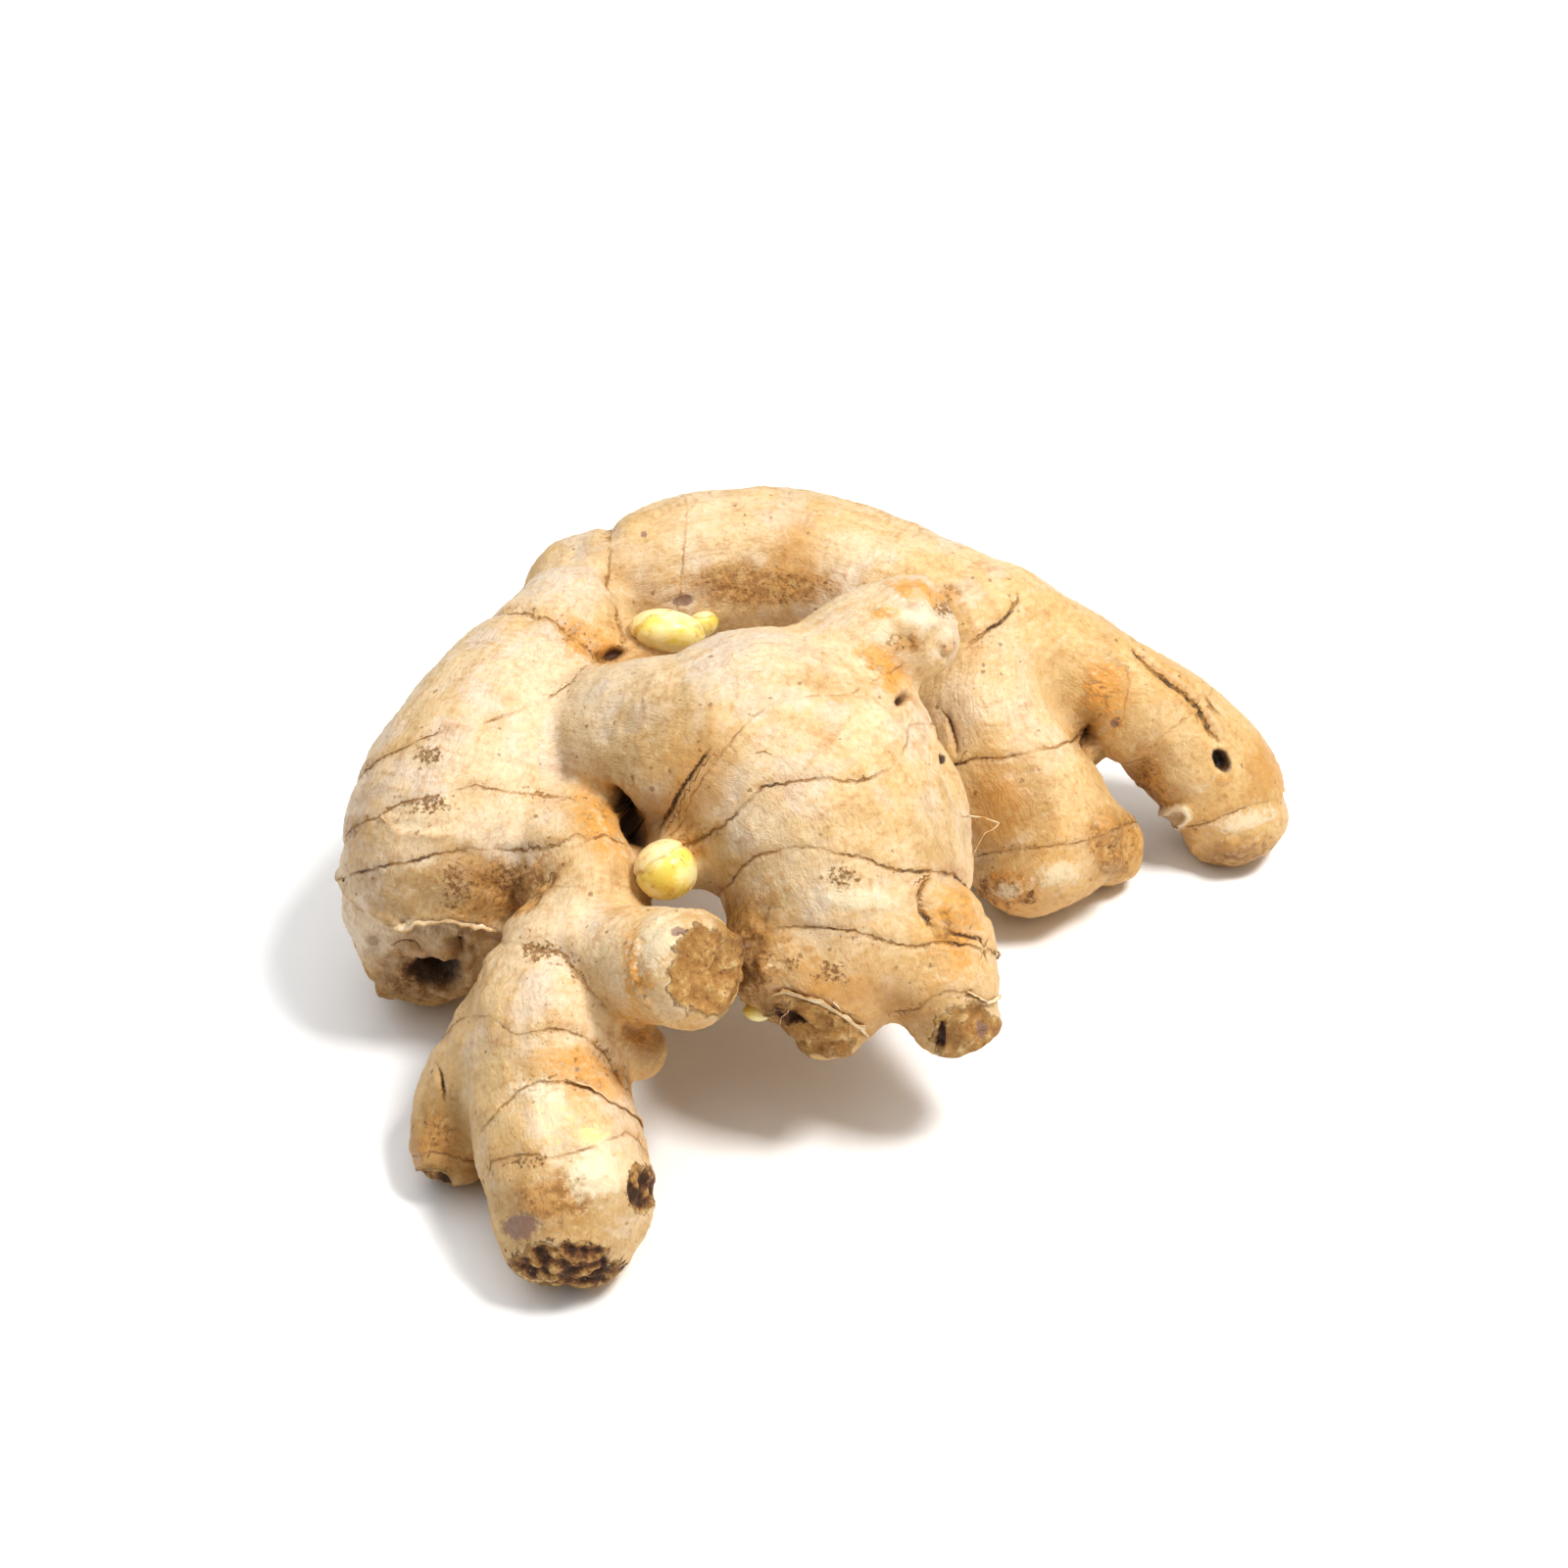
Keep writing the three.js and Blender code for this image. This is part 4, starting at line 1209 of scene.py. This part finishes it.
    height = w.math("MULTIPLY", fibre, 0.45)
    height = w.math("MULTIPLY_ADD", w.noise(place_on, 1700.0, 3.0, 0.6), 0.20, height)
    height = w.math("MULTIPLY_ADD", ragged, 0.42, height)
    height = w.math("MULTIPLY_ADD", patches, 0.7, height)
    height = w.math("MULTIPLY_ADD", crumbs, 0.25, height)
    height = w.math("MULTIPLY_ADD", w.math("MULTIPLY", line, dark), -0.7, height)
    height = w.math("MULTIPLY_ADD", lip_highlight, 0.25, height)
    height = w.math("MULTIPLY_ADD", w.math("MULTIPLY", scar, ragged), 2.0, height)
    height = w.math("MULTIPLY_ADD", w.math("MULTIPLY", broken, torn), 2.6, height)
    relief = w.add("Bump", {"Height": height, "Strength": 1.0, "Distance": 0.00045})
    w.feed(shader.inputs["Normal"], relief.outputs[0])
    shader.inputs["Subsurface Weight"].default_value = 0.15
    shader.inputs["Subsurface Radius"].default_value = (1.0, 0.55, 0.22)
    shader.inputs["Subsurface Scale"].default_value = 0.002
    shader.inputs["Specular IOR Level"].default_value = 0.45
    return material


def bud_material(colours):
    """A bud's smooth, moist yellow skin under a pinkish sheath."""
    material, w, shader = new_material("ginger bud")
    place_on = w.add("TexCoord").outputs["Object"]
    sheath = w.field("sheath")
    clouds = w.noise(place_on, 260.0, 3.0)
    colour = w.mix(w.step(clouds, 0.35, 0.65), tuple(colours.bud), tuple(colours.bud_pale))
    edge = w.math("MULTIPLY_ADD", w.math("SUBTRACT", clouds, 0.5), 0.5, sheath)
    colour = w.mix(w.step(edge, -0.08, 0.1, 0.0, 0.75), colour, tuple(colours.sheath))
    rim = w.step(w.math("ABSOLUTE", edge), 0.09, 0.0)
    colour = w.mix(w.math("MULTIPLY", rim, 0.45), colour, tuple(colours.stain))
    blotches = w.noise(place_on, 420.0, 4.0, 0.6)
    colour = w.mix(w.step(blotches, 0.54, 0.68, 0.0, 0.6), colour, tuple(colours.rust))
    specks = group_node(w, shared_group("ginger specks", speck_group), Place=place_on,
                        Roughness=0.2)["Specks"]
    colour = w.mix(w.math("MULTIPLY", specks, 0.6), colour, tuple(colours.torn))
    w.feed(shader.inputs["Base Color"], colour)
    w.feed(shader.inputs["Roughness"], w.step(clouds, 0.3, 0.7, 0.24, 0.38))
    fine = w.noise(place_on, 1600.0, 3.0)
    relief = w.add("Bump", {"Height": w.math("ADD", fine, clouds), "Distance": 0.0001})
    w.feed(shader.inputs["Normal"], relief.outputs[0])
    shader.inputs["Subsurface Weight"].default_value = 0.35
    shader.inputs["Subsurface Radius"].default_value = (1.0, 0.75, 0.25)
    shader.inputs["Subsurface Scale"].default_value = 0.003
    return material


def scale_material(colours):
    """Papery torn skin: pale and fibrous, brown at its edge."""
    material, w, shader = new_material("ginger papery scale")
    place_on = w.add("TexCoord").outputs["Object"]
    reach = w.field("reach")
    specks = group_node(w, shared_group("ginger specks", speck_group), Place=place_on,
                        Roughness=0.35)
    fibres = group_node(w, shared_group("ginger fibres", fibre_group),
                        Grain=w.stretched(place_on, (1000, 1000, 1000)), Fineness=1.4)
    colour = w.mix(w.step(fibres["Fibres"], 0.4, 0.65), tuple(colours.paper), tuple(colours.tan))
    colour = w.mix(w.step(reach, 0.4, 1.0, 0.0, 0.6), colour, tuple(colours.stain))
    colour = w.mix(w.math("MULTIPLY", specks["Crumbs"], 0.6), colour, tuple(colours.brown))
    w.feed(shader.inputs["Base Color"], colour)
    w.feed(shader.inputs["Roughness"], w.step(fibres["Fibres"], 0.3, 0.7, 0.5, 0.75))
    relief = w.add("Bump", {"Height": fibres["Fibres"], "Distance": 0.00015})
    w.feed(shader.inputs["Normal"], relief.outputs[0])
    return material


def hair_material(colours):
    """Dry root hairs, pale tan with darker stretches."""
    material, w, shader = new_material("ginger root hair")
    place_on = w.add("TexCoord").outputs["Object"]
    shade = w.noise(place_on, 500.0, 2.0)
    w.feed(shader.inputs["Base Color"],
           w.mix(w.step(shade, 0.35, 0.65), tuple(colours.stain), tuple(colours.paper)))
    w.feed(shader.inputs["Roughness"], w.step(shade, 0.3, 0.7, 0.55, 0.8))
    return material


def floor_material(colours):
    """A pale matt table with the faintest cloudiness."""
    material, w, shader = new_material("pale table")
    place_on = w.add("TexCoord").outputs["Object"]
    cloud = w.noise(place_on, 6.0, 3.0)
    colour = w.mix(w.step(cloud, 0.3, 0.7), tuple(colours.table),
                   tuple(0.985 * c for c in colours.table))
    w.feed(shader.inputs["Base Color"], colour)
    w.feed(shader.inputs["Roughness"], w.step(cloud, 0.3, 0.7, 0.55, 0.62))
    return material


def bud_shape(middle, half, turn, sheath_from, seed):
    """A bud as a swollen egg: half sizes in mm along its three axes, with a sheath on one side."""
    rings, around = 40, 56
    theta = np.linspace(0.0, np.pi, rings)
    phi = np.linspace(0, 2 * np.pi, around, endpoint=False)
    t, p = np.meshgrid(theta, phi, indexing="ij")
    unit = np.stack((np.sin(t) * np.cos(p), np.sin(t) * np.sin(p), np.cos(t)), -1).reshape(-1, 3)
    sheath = unit @ (np.array(sheath_from) / np.linalg.norm(sheath_from)) - 0.45
    sheath = sheath + soft_noise(unit, 0.6, seed) * 0.15
    swell = 1 + soft_noise(unit, 0.9, seed + 1) * 0.05 + 0.035 * smooth_step(-0.06, 0.06, sheath)
    swell = swell - 0.05 * np.exp(-((sheath + 0.05) / 0.05) ** 2)
    shape = unit * half * swell[:, None]
    points = shape @ np.array(turn).T + middle
    faces = []
    for i in range(rings - 1):
        for k in range(around):
            a, b = i * around + k, i * around + (k + 1) % around
            faces.append((a, a + around, b + around, b))
    return points, faces, sheath


def weld(mesh):
    """Joins a mesh's points that lie in one place."""
    work = bmesh.new()
    work.from_mesh(mesh)
    bmesh.ops.remove_doubles(work, verts=work.verts, dist=0.000005)
    work.to_mesh(mesh)
    work.free()


# The buds: pixel of the middle, how far it stands in front of the skin in mm, half sizes in mm
# as across, up and towards the camera, turn in degrees, and the side that the sheath covers
BUDS = {
    "front_bud": ((680, 888), -2.4, (4.9, 4.7, 5.0), 12, (-0.35, 0.9, 0.0)),
    "back_bud": ((681, 644), -1.5, (6.4, 3.6, 4.4), -6, (-0.8, 0.5, -0.2)),
    "back_bud_pale": ((716, 637), -1.2, (3.0, 2.3, 2.8), 20, (0.2, 0.6, 0.0)),
    "small_low_bud": ((771, 1033), -0.4, (2.3, 1.5, 1.9), -10, (0.4, 0.5, 0.0)),
}


def ribbon(stretch, start, stop, wide, lift, seed):
    """A torn papery strip along part of a line: points, faces and how far each is from its root."""
    path, outward, side, _ = stretch
    n = len(path)
    picks = np.arange(int(start * n), max(int(stop * n), int(start * n) + 4))
    picks = picks[picks < n]
    rows = 4
    points, reach = [], []
    torn = soft_noise(path[picks], 1.1, seed) * 0.5 + soft_noise(path[picks], 3.5, seed + 1) * 0.6
    ends = np.minimum(np.arange(len(picks)), np.arange(len(picks))[::-1]) / 6.0
    width = wide * np.clip(0.55 + torn, 0.08, 1.3) * np.clip(ends, 0.05, 1)
    curl = lift * np.clip(0.5 + soft_noise(path[picks], 4.0, seed + 2), 0.05, 1.2)
    for j, i in enumerate(picks):
        for r in range(rows):
            t = r / (rows - 1)
            points.append(path[i] + side[i] * (width[j] * t - 0.25)
                          + outward[i] * (0.12 - 0.3 * (r == 0) + curl[j] * t * t))
            reach.append(t)
    faces = []
    for j in range(len(picks) - 1):
        for r in range(rows - 1):
            a = j * rows + r
            faces.append((a, a + 1, a + rows + 1, a + rows))
    return np.array(points), faces, np.array(reach)


# Papery strips: the line they are torn along, where they start and stop on it, their width and
# how far they lift, in mm
SCALES = (
    ("left_end_frill", 0.0, 1.0, 1.5, 0.9), ("left_peeled_ridge", 0.0, 0.6, 1.0, 0.35),
    ("front_fourth_ring", 0.02, 0.25, 1.0, 0.4), ("right_stub_ring", 0.0, 0.5, 0.8, 0.35),
    ("lobe_lower_ring", 0.12, 0.2, 0.5, 0.25), ("right_nub_ring", 0.05, 0.3, 0.7, 0.3),
    ("left_nub_torn_line", 0.0, 1.0, 1.1, 0.5), ("finger_third_ring", 0.1, 0.25, 0.5, 0.2),
)

# Root hairs: paths in the photograph's pixels
HAIRS = (
    ((981, 832), (1003, 834), (1020, 840), (1014, 846), (1005, 850), (998, 862), (990, 880)),
    ((805, 1030), (798, 1038), (796, 1048)),
    ((850, 1022), (858, 1030), (856, 1040)),
    ((772, 768), (781, 766), (789, 770)),
)


def tube(path, radius):
    """A thin tapering tube along a path."""
    along = np.gradient(path, axis=0)
    along /= np.maximum(np.linalg.norm(along, axis=1), 1e-6)[:, None]
    side = np.cross(along, (0.2, 0.1, 0.97))
    side /= np.linalg.norm(side, axis=1)[:, None]
    other = np.cross(along, side)
    sides, points, faces = 6, [], []
    for i, p in enumerate(path):
        r = radius * (1 - 0.6 * i / len(path))
        for k in range(sides):
            a = 2 * np.pi * k / sides
            points.append(p + side[i] * r * np.cos(a) + other[i] * r * np.sin(a))
    for i in range(len(path) - 1):
        for k in range(sides):
            a, b = i * sides + k, i * sides + (k + 1) % sides
            faces.append((a, b, b + sides, a + sides))
    faces.append(tuple(range(sides))[::-1])
    faces.append(tuple((len(path) - 1) * sides + k for k in range(sides)))
    return np.array(points), faces


def join_parts(parts):
    """Several lists of points, faces and values as one."""
    points, faces, values, start = [], [], [], 0
    for own_points, own_faces, own_values in parts:
        points.append(own_points)
        faces.extend(tuple(i + start for i in f) for f in own_faces)
        values.append(own_values)
        start += len(own_points)
    return np.vstack(points), faces, np.concatenate(values)


# What growing the skin leaves for the buds, papery scales and root hairs
grown = {}


class GingerSizes(bpy.types.PropertyGroup):
    """Sizes of the skin's relief."""

    net: bpy.props.FloatProperty(
        name="Net", description="Spacing of the skin's points in millimetres", default=0.68)
    fillet: bpy.props.FloatProperty(
        name="Fillet", description="How softly one finger runs into the next, in millimetres",
        default=2.4)
    lumps: bpy.props.FloatProperty(
        name="Lumps", description="Strength of the slow swellings", default=1.0, subtype="FACTOR")
    rings: bpy.props.FloatProperty(
        name="Rings", description="Strength of the growth rings", default=1.0, subtype="FACTOR")
    hair: bpy.props.FloatProperty(
        name="Hair", description="Radius of a root hair in millimetres", default=0.11)


def colour_property(name, description, value):
    """A colour that can be changed in the panel."""
    return bpy.props.FloatVectorProperty(
        name=name, description=description, default=value, size=3, min=0, max=1, subtype="COLOR")


class GingerColours(bpy.types.PropertyGroup):
    """Colours of the rhizome and its table."""

    pale: colour_property("Pale", "Palest skin", (0.745, 0.585, 0.385))
    tan: colour_property("Tan", "Common skin", (0.66, 0.455, 0.215))
    orange: colour_property("Orange", "Warmest skin", (0.62, 0.37, 0.12))
    bloom: colour_property("Bloom", "Greyish pink bloom", (0.69, 0.57, 0.45))
    # Weathered also paints the shade in the hollow and on the neck
    weathered: colour_property("Weathered", "Weathered skin", (0.42, 0.25, 0.085))
    stain: colour_property("Stain", "Stain beside rings", (0.55, 0.27, 0.065))
    # Brown also paints the shade in hollows and creases
    brown: colour_property("Brown", "Brown skin in hollows", (0.33, 0.16, 0.045))
    crust: colour_property("Crust", "Crusty patches", (0.20, 0.085, 0.03))
    # Dark and deep also paint the shade in crevices and the holes of pits
    dark: colour_property("Dark", "Cracks and pits", (0.06, 0.025, 0.01))
    deep: colour_property("Deep", "The bottoms of holes", (0.006, 0.003, 0.003))
    rust: colour_property("Rust", "Orange-brown patches", (0.66, 0.32, 0.07))
    torn: colour_property("Torn", "Torn fibrous ends", (0.43, 0.24, 0.075))
    white: colour_property("White", "Whitish peeled skin", (0.78, 0.67, 0.48))
    bare: colour_property("Bare", "Bare yellow flesh", (0.84, 0.64, 0.25))
    spot: colour_property("Spot", "Smooth dark spots", (0.27, 0.15, 0.11))
    bud: colour_property("Bud", "Bud's yellow", (0.80, 0.62, 0.13))
    bud_pale: colour_property("Pale bud", "Bud's palest yellow", (0.90, 0.78, 0.42))
    sheath: colour_property("Sheath", "Bud's sheath", (0.89, 0.67, 0.36))
    paper: colour_property("Paper", "Papery torn skin", (0.85, 0.72, 0.52))
    table: colour_property("Table", "Pale table", (0.93, 0.93, 0.93))


def settings():
    """The sizes and the colours as the scene holds them."""
    scene = bpy.context.scene
    return scene.ginger_sizes, scene.ginger_colours


class GINGER_OT_skin(bpy.types.Operator):
    """Grow the rhizome's skin over its CAD shape"""

    bl_idname = "ginger.skin"
    bl_label = "Grow skin"

    def execute(self, context):
        sizes, colours = settings()
        skin, stretches = grow_skin(sizes)
        mesh = mesh_from("ginger_skin", skin.points, skin.quads)
        for name, values in skin.marks.items():
            set_field(mesh, name, values)
        piece = place("ginger_skin", mesh, skin_material(colours))
        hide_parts(NODE)
        thinned = piece.modifiers.new("fewer triangles", "DECIMATE")
        thinned.ratio = min(1.0, MOST_TRIANGLES / (2 * len(skin.quads)))
        grown.update(skin=skin, tree=skin.tree(), normals=skin.normals(), stretches=stretches)
        return {"FINISHED"}


class GINGER_OT_buds(bpy.types.Operator):
    """Set the buds on the skin"""

    bl_idname = "ginger.buds"
    bl_label = "Set buds"

    def execute(self, context):
        if "tree" not in grown:
            raise RuntimeError("grow the skin first")
        parts = []
        for seed, (pixel, ahead, half, turn, sheath) in enumerate(BUDS.values()):
            hit = nearest_in_picture(grown["skin"], grown["tree"], grown["normals"], pixel)
            middle = hit + sight_line(pixel) * (ahead + half[2] * 0.5)
            a = np.radians(turn)
            across = np.cos(a) * RIGHT + np.sin(a) * UP
            upward = -np.sin(a) * RIGHT + np.cos(a) * UP
            axes = np.stack((across, upward, -AHEAD), 1)
            parts.append(bud_shape(middle, half, axes, sheath, 50 + 3 * seed))
        points, faces, values = join_parts(parts)
        mesh = mesh_from("ginger_buds", points, faces)
        set_field(mesh, "sheath", values)
        weld(mesh)
        place("ginger_buds", mesh, bud_material(settings()[1]))
        return {"FINISHED"}


class GINGER_OT_scales(bpy.types.Operator):
    """Set the torn papery scales along the rings"""

    bl_idname = "ginger.scales"
    bl_label = "Set papery scales"

    def execute(self, context):
        if "stretches" not in grown:
            raise RuntimeError("grow the skin first")
        parts = [ribbon(grown["stretches"][line], a, b, wide, lift, 70 + i)
                 for i, (line, a, b, wide, lift) in enumerate(SCALES)]
        points, faces, values = join_parts(parts)
        points[:, 2] = np.maximum(points[:, 2], 0.05)
        mesh = mesh_from("ginger_papery_scales", points, faces)
        set_field(mesh, "reach", values)
        piece = place("ginger_papery_scales", mesh, scale_material(settings()[1]))
        thick = piece.modifiers.new("thickness", "SOLIDIFY")
        thick.thickness = 0.14 * MM
        thick.offset = 0.0
        return {"FINISHED"}


class GINGER_OT_hairs(bpy.types.Operator):
    """Set the few root hairs that are left"""

    bl_idname = "ginger.hairs"
    bl_label = "Set root hairs"

    def execute(self, context):
        if "tree" not in grown:
            raise RuntimeError("grow the skin first")
        sizes, colours = settings()
        parts = []
        for i, pixels in enumerate(HAIRS):
            path = []
            for pixel in evenly(pixels, SIGHT_STEP):
                hit, normal = seen_from_camera(grown["tree"], pixel)
                if hit is not None and (not path or np.linalg.norm(hit - path[-1]) < JUMP):
                    path.append(hit + normal * 0.18)
                elif path:
                    path.append(EYE + sight_line(pixel) * np.linalg.norm(path[-1] - EYE))
            if len(path) < 3:
                raise RuntimeError(f"root hair {i} isn't on the skin")
            path = np.array(path)
            points, faces = tube(path, sizes.hair)
            parts.append((points, faces, np.zeros(len(points))))
        points, faces, _ = join_parts(parts)
        mesh = mesh_from("ginger_root_hairs", points, faces)
        place("ginger_root_hairs", mesh, hair_material(colours))
        return {"FINISHED"}


class GINGER_OT_stage(bpy.types.Operator):
    """Make the table, the lights and the camera"""

    bl_idname = "ginger.stage"
    bl_label = "Set stage"

    def execute(self, context):
        scene = context.scene
        _, colours = settings()
        corners = np.array(((-1, -1, 0), (1, -1, 0), (1, 1, 0), (-1, 1, 0))) * TABLE_HALF_WIDTH
        floor_mesh = mesh_from("table", corners, ((0, 1, 2, 3),))
        floor_mesh.materials.append(floor_material(colours))
        floor = bpy.data.objects.new("table", floor_mesh)
        scene.collection.objects.link(floor)

        world = bpy.data.worlds.new("studio")
        world.use_nodes = True
        w = Wiring(world.node_tree)
        sky = world.node_tree.nodes["Background"]
        sky.inputs["Color"].default_value = (0.97, 0.985, 1.0, 1)
        way = w.add("SeparateXYZ", {"Vector": w.add("TexCoord").outputs["Generated"]})
        above = w.step(way.outputs["Z"], 0.25, 1.0, 0.05, 1.35)
        leftward = w.math("MULTIPLY_ADD", way.outputs["X"], -0.8, way.outputs["Y"])
        behind = w.step(leftward, -0.9, 0.7, 0.5, 1.25)
        w.feed(sky.inputs["Strength"], w.math("MULTIPLY", above, behind))
        scene.world = world
        self.lamp(scene, "key", (0.40, -0.12, 0.91), 0.9, 0.20, 6.4, (1.0, 0.985, 0.96))
        self.lamp(scene, "fill", (0.62, -0.76, 0.12), 1.2, 0.40, 2.4, (1.0, 0.93, 0.76))

        camera = bpy.data.objects.new("camera", bpy.data.cameras.new("camera"))
        camera.data.sensor_width = 36.0
        camera.data.lens = 36.0 * FOCUS / PICTURE
        camera.data.clip_start, camera.data.clip_end = 0.05, 20.0
        turn = Matrix((RIGHT, UP, -AHEAD)).transposed().to_4x4()
        camera.matrix_world = Matrix.Translation(Vector(EYE * MM)) @ turn
        scene.collection.objects.link(camera)
        scene.camera = camera
        scene.view_settings.view_transform = "Standard"
        scene.view_settings.look = "Medium High Contrast"
        return {"FINISHED"}

    def lamp(self, scene, name, way, distance, size, power, colour):
        """A square soft light that looks at the rhizome from a direction."""
        data = bpy.data.lights.new(name, "AREA")
        data.size = size
        data.energy = power
        data.color = colour
        lamp = bpy.data.objects.new(name, data)
        toward = Vector(way).normalized()
        lamp.location = Vector((0, 0, 0.03)) + toward * distance
        lamp.rotation_euler = toward.to_track_quat("Z", "Y").to_euler()
        scene.collection.objects.link(lamp)


class GINGER_PT_panel(bpy.types.Panel):
    """The rhizome's steps and settings"""

    bl_label = "Ginger root"
    bl_idname = "GINGER_PT_panel"
    bl_space_type = "VIEW_3D"
    bl_region_type = "UI"
    bl_category = "Ginger"

    def draw(self, context):
        column = self.layout.column()
        for step in STEPS:
            column.operator(step.bl_idname)
        for group in (context.scene.ginger_sizes, context.scene.ginger_colours):
            for name in group.__annotations__:
                column.prop(group, name)


STEPS = (GINGER_OT_skin, GINGER_OT_buds, GINGER_OT_scales, GINGER_OT_hairs, GINGER_OT_stage)
CLASSES = (GingerSizes, GingerColours, *STEPS, GINGER_PT_panel)


def register():
    for kind in CLASSES:
        bpy.utils.register_class(kind)
    bpy.types.Scene.ginger_sizes = bpy.props.PointerProperty(type=GingerSizes)
    bpy.types.Scene.ginger_colours = bpy.props.PointerProperty(type=GingerColours)


def unregister():
    del bpy.types.Scene.ginger_sizes
    del bpy.types.Scene.ginger_colours
    for kind in reversed(CLASSES):
        bpy.utils.unregister_class(kind)


def main():
    register()
    for step in (bpy.ops.ginger.skin, bpy.ops.ginger.buds, bpy.ops.ginger.scales,
                 bpy.ops.ginger.hairs, bpy.ops.ginger.stage):
        step()


if __name__ == "__main__":
    main()
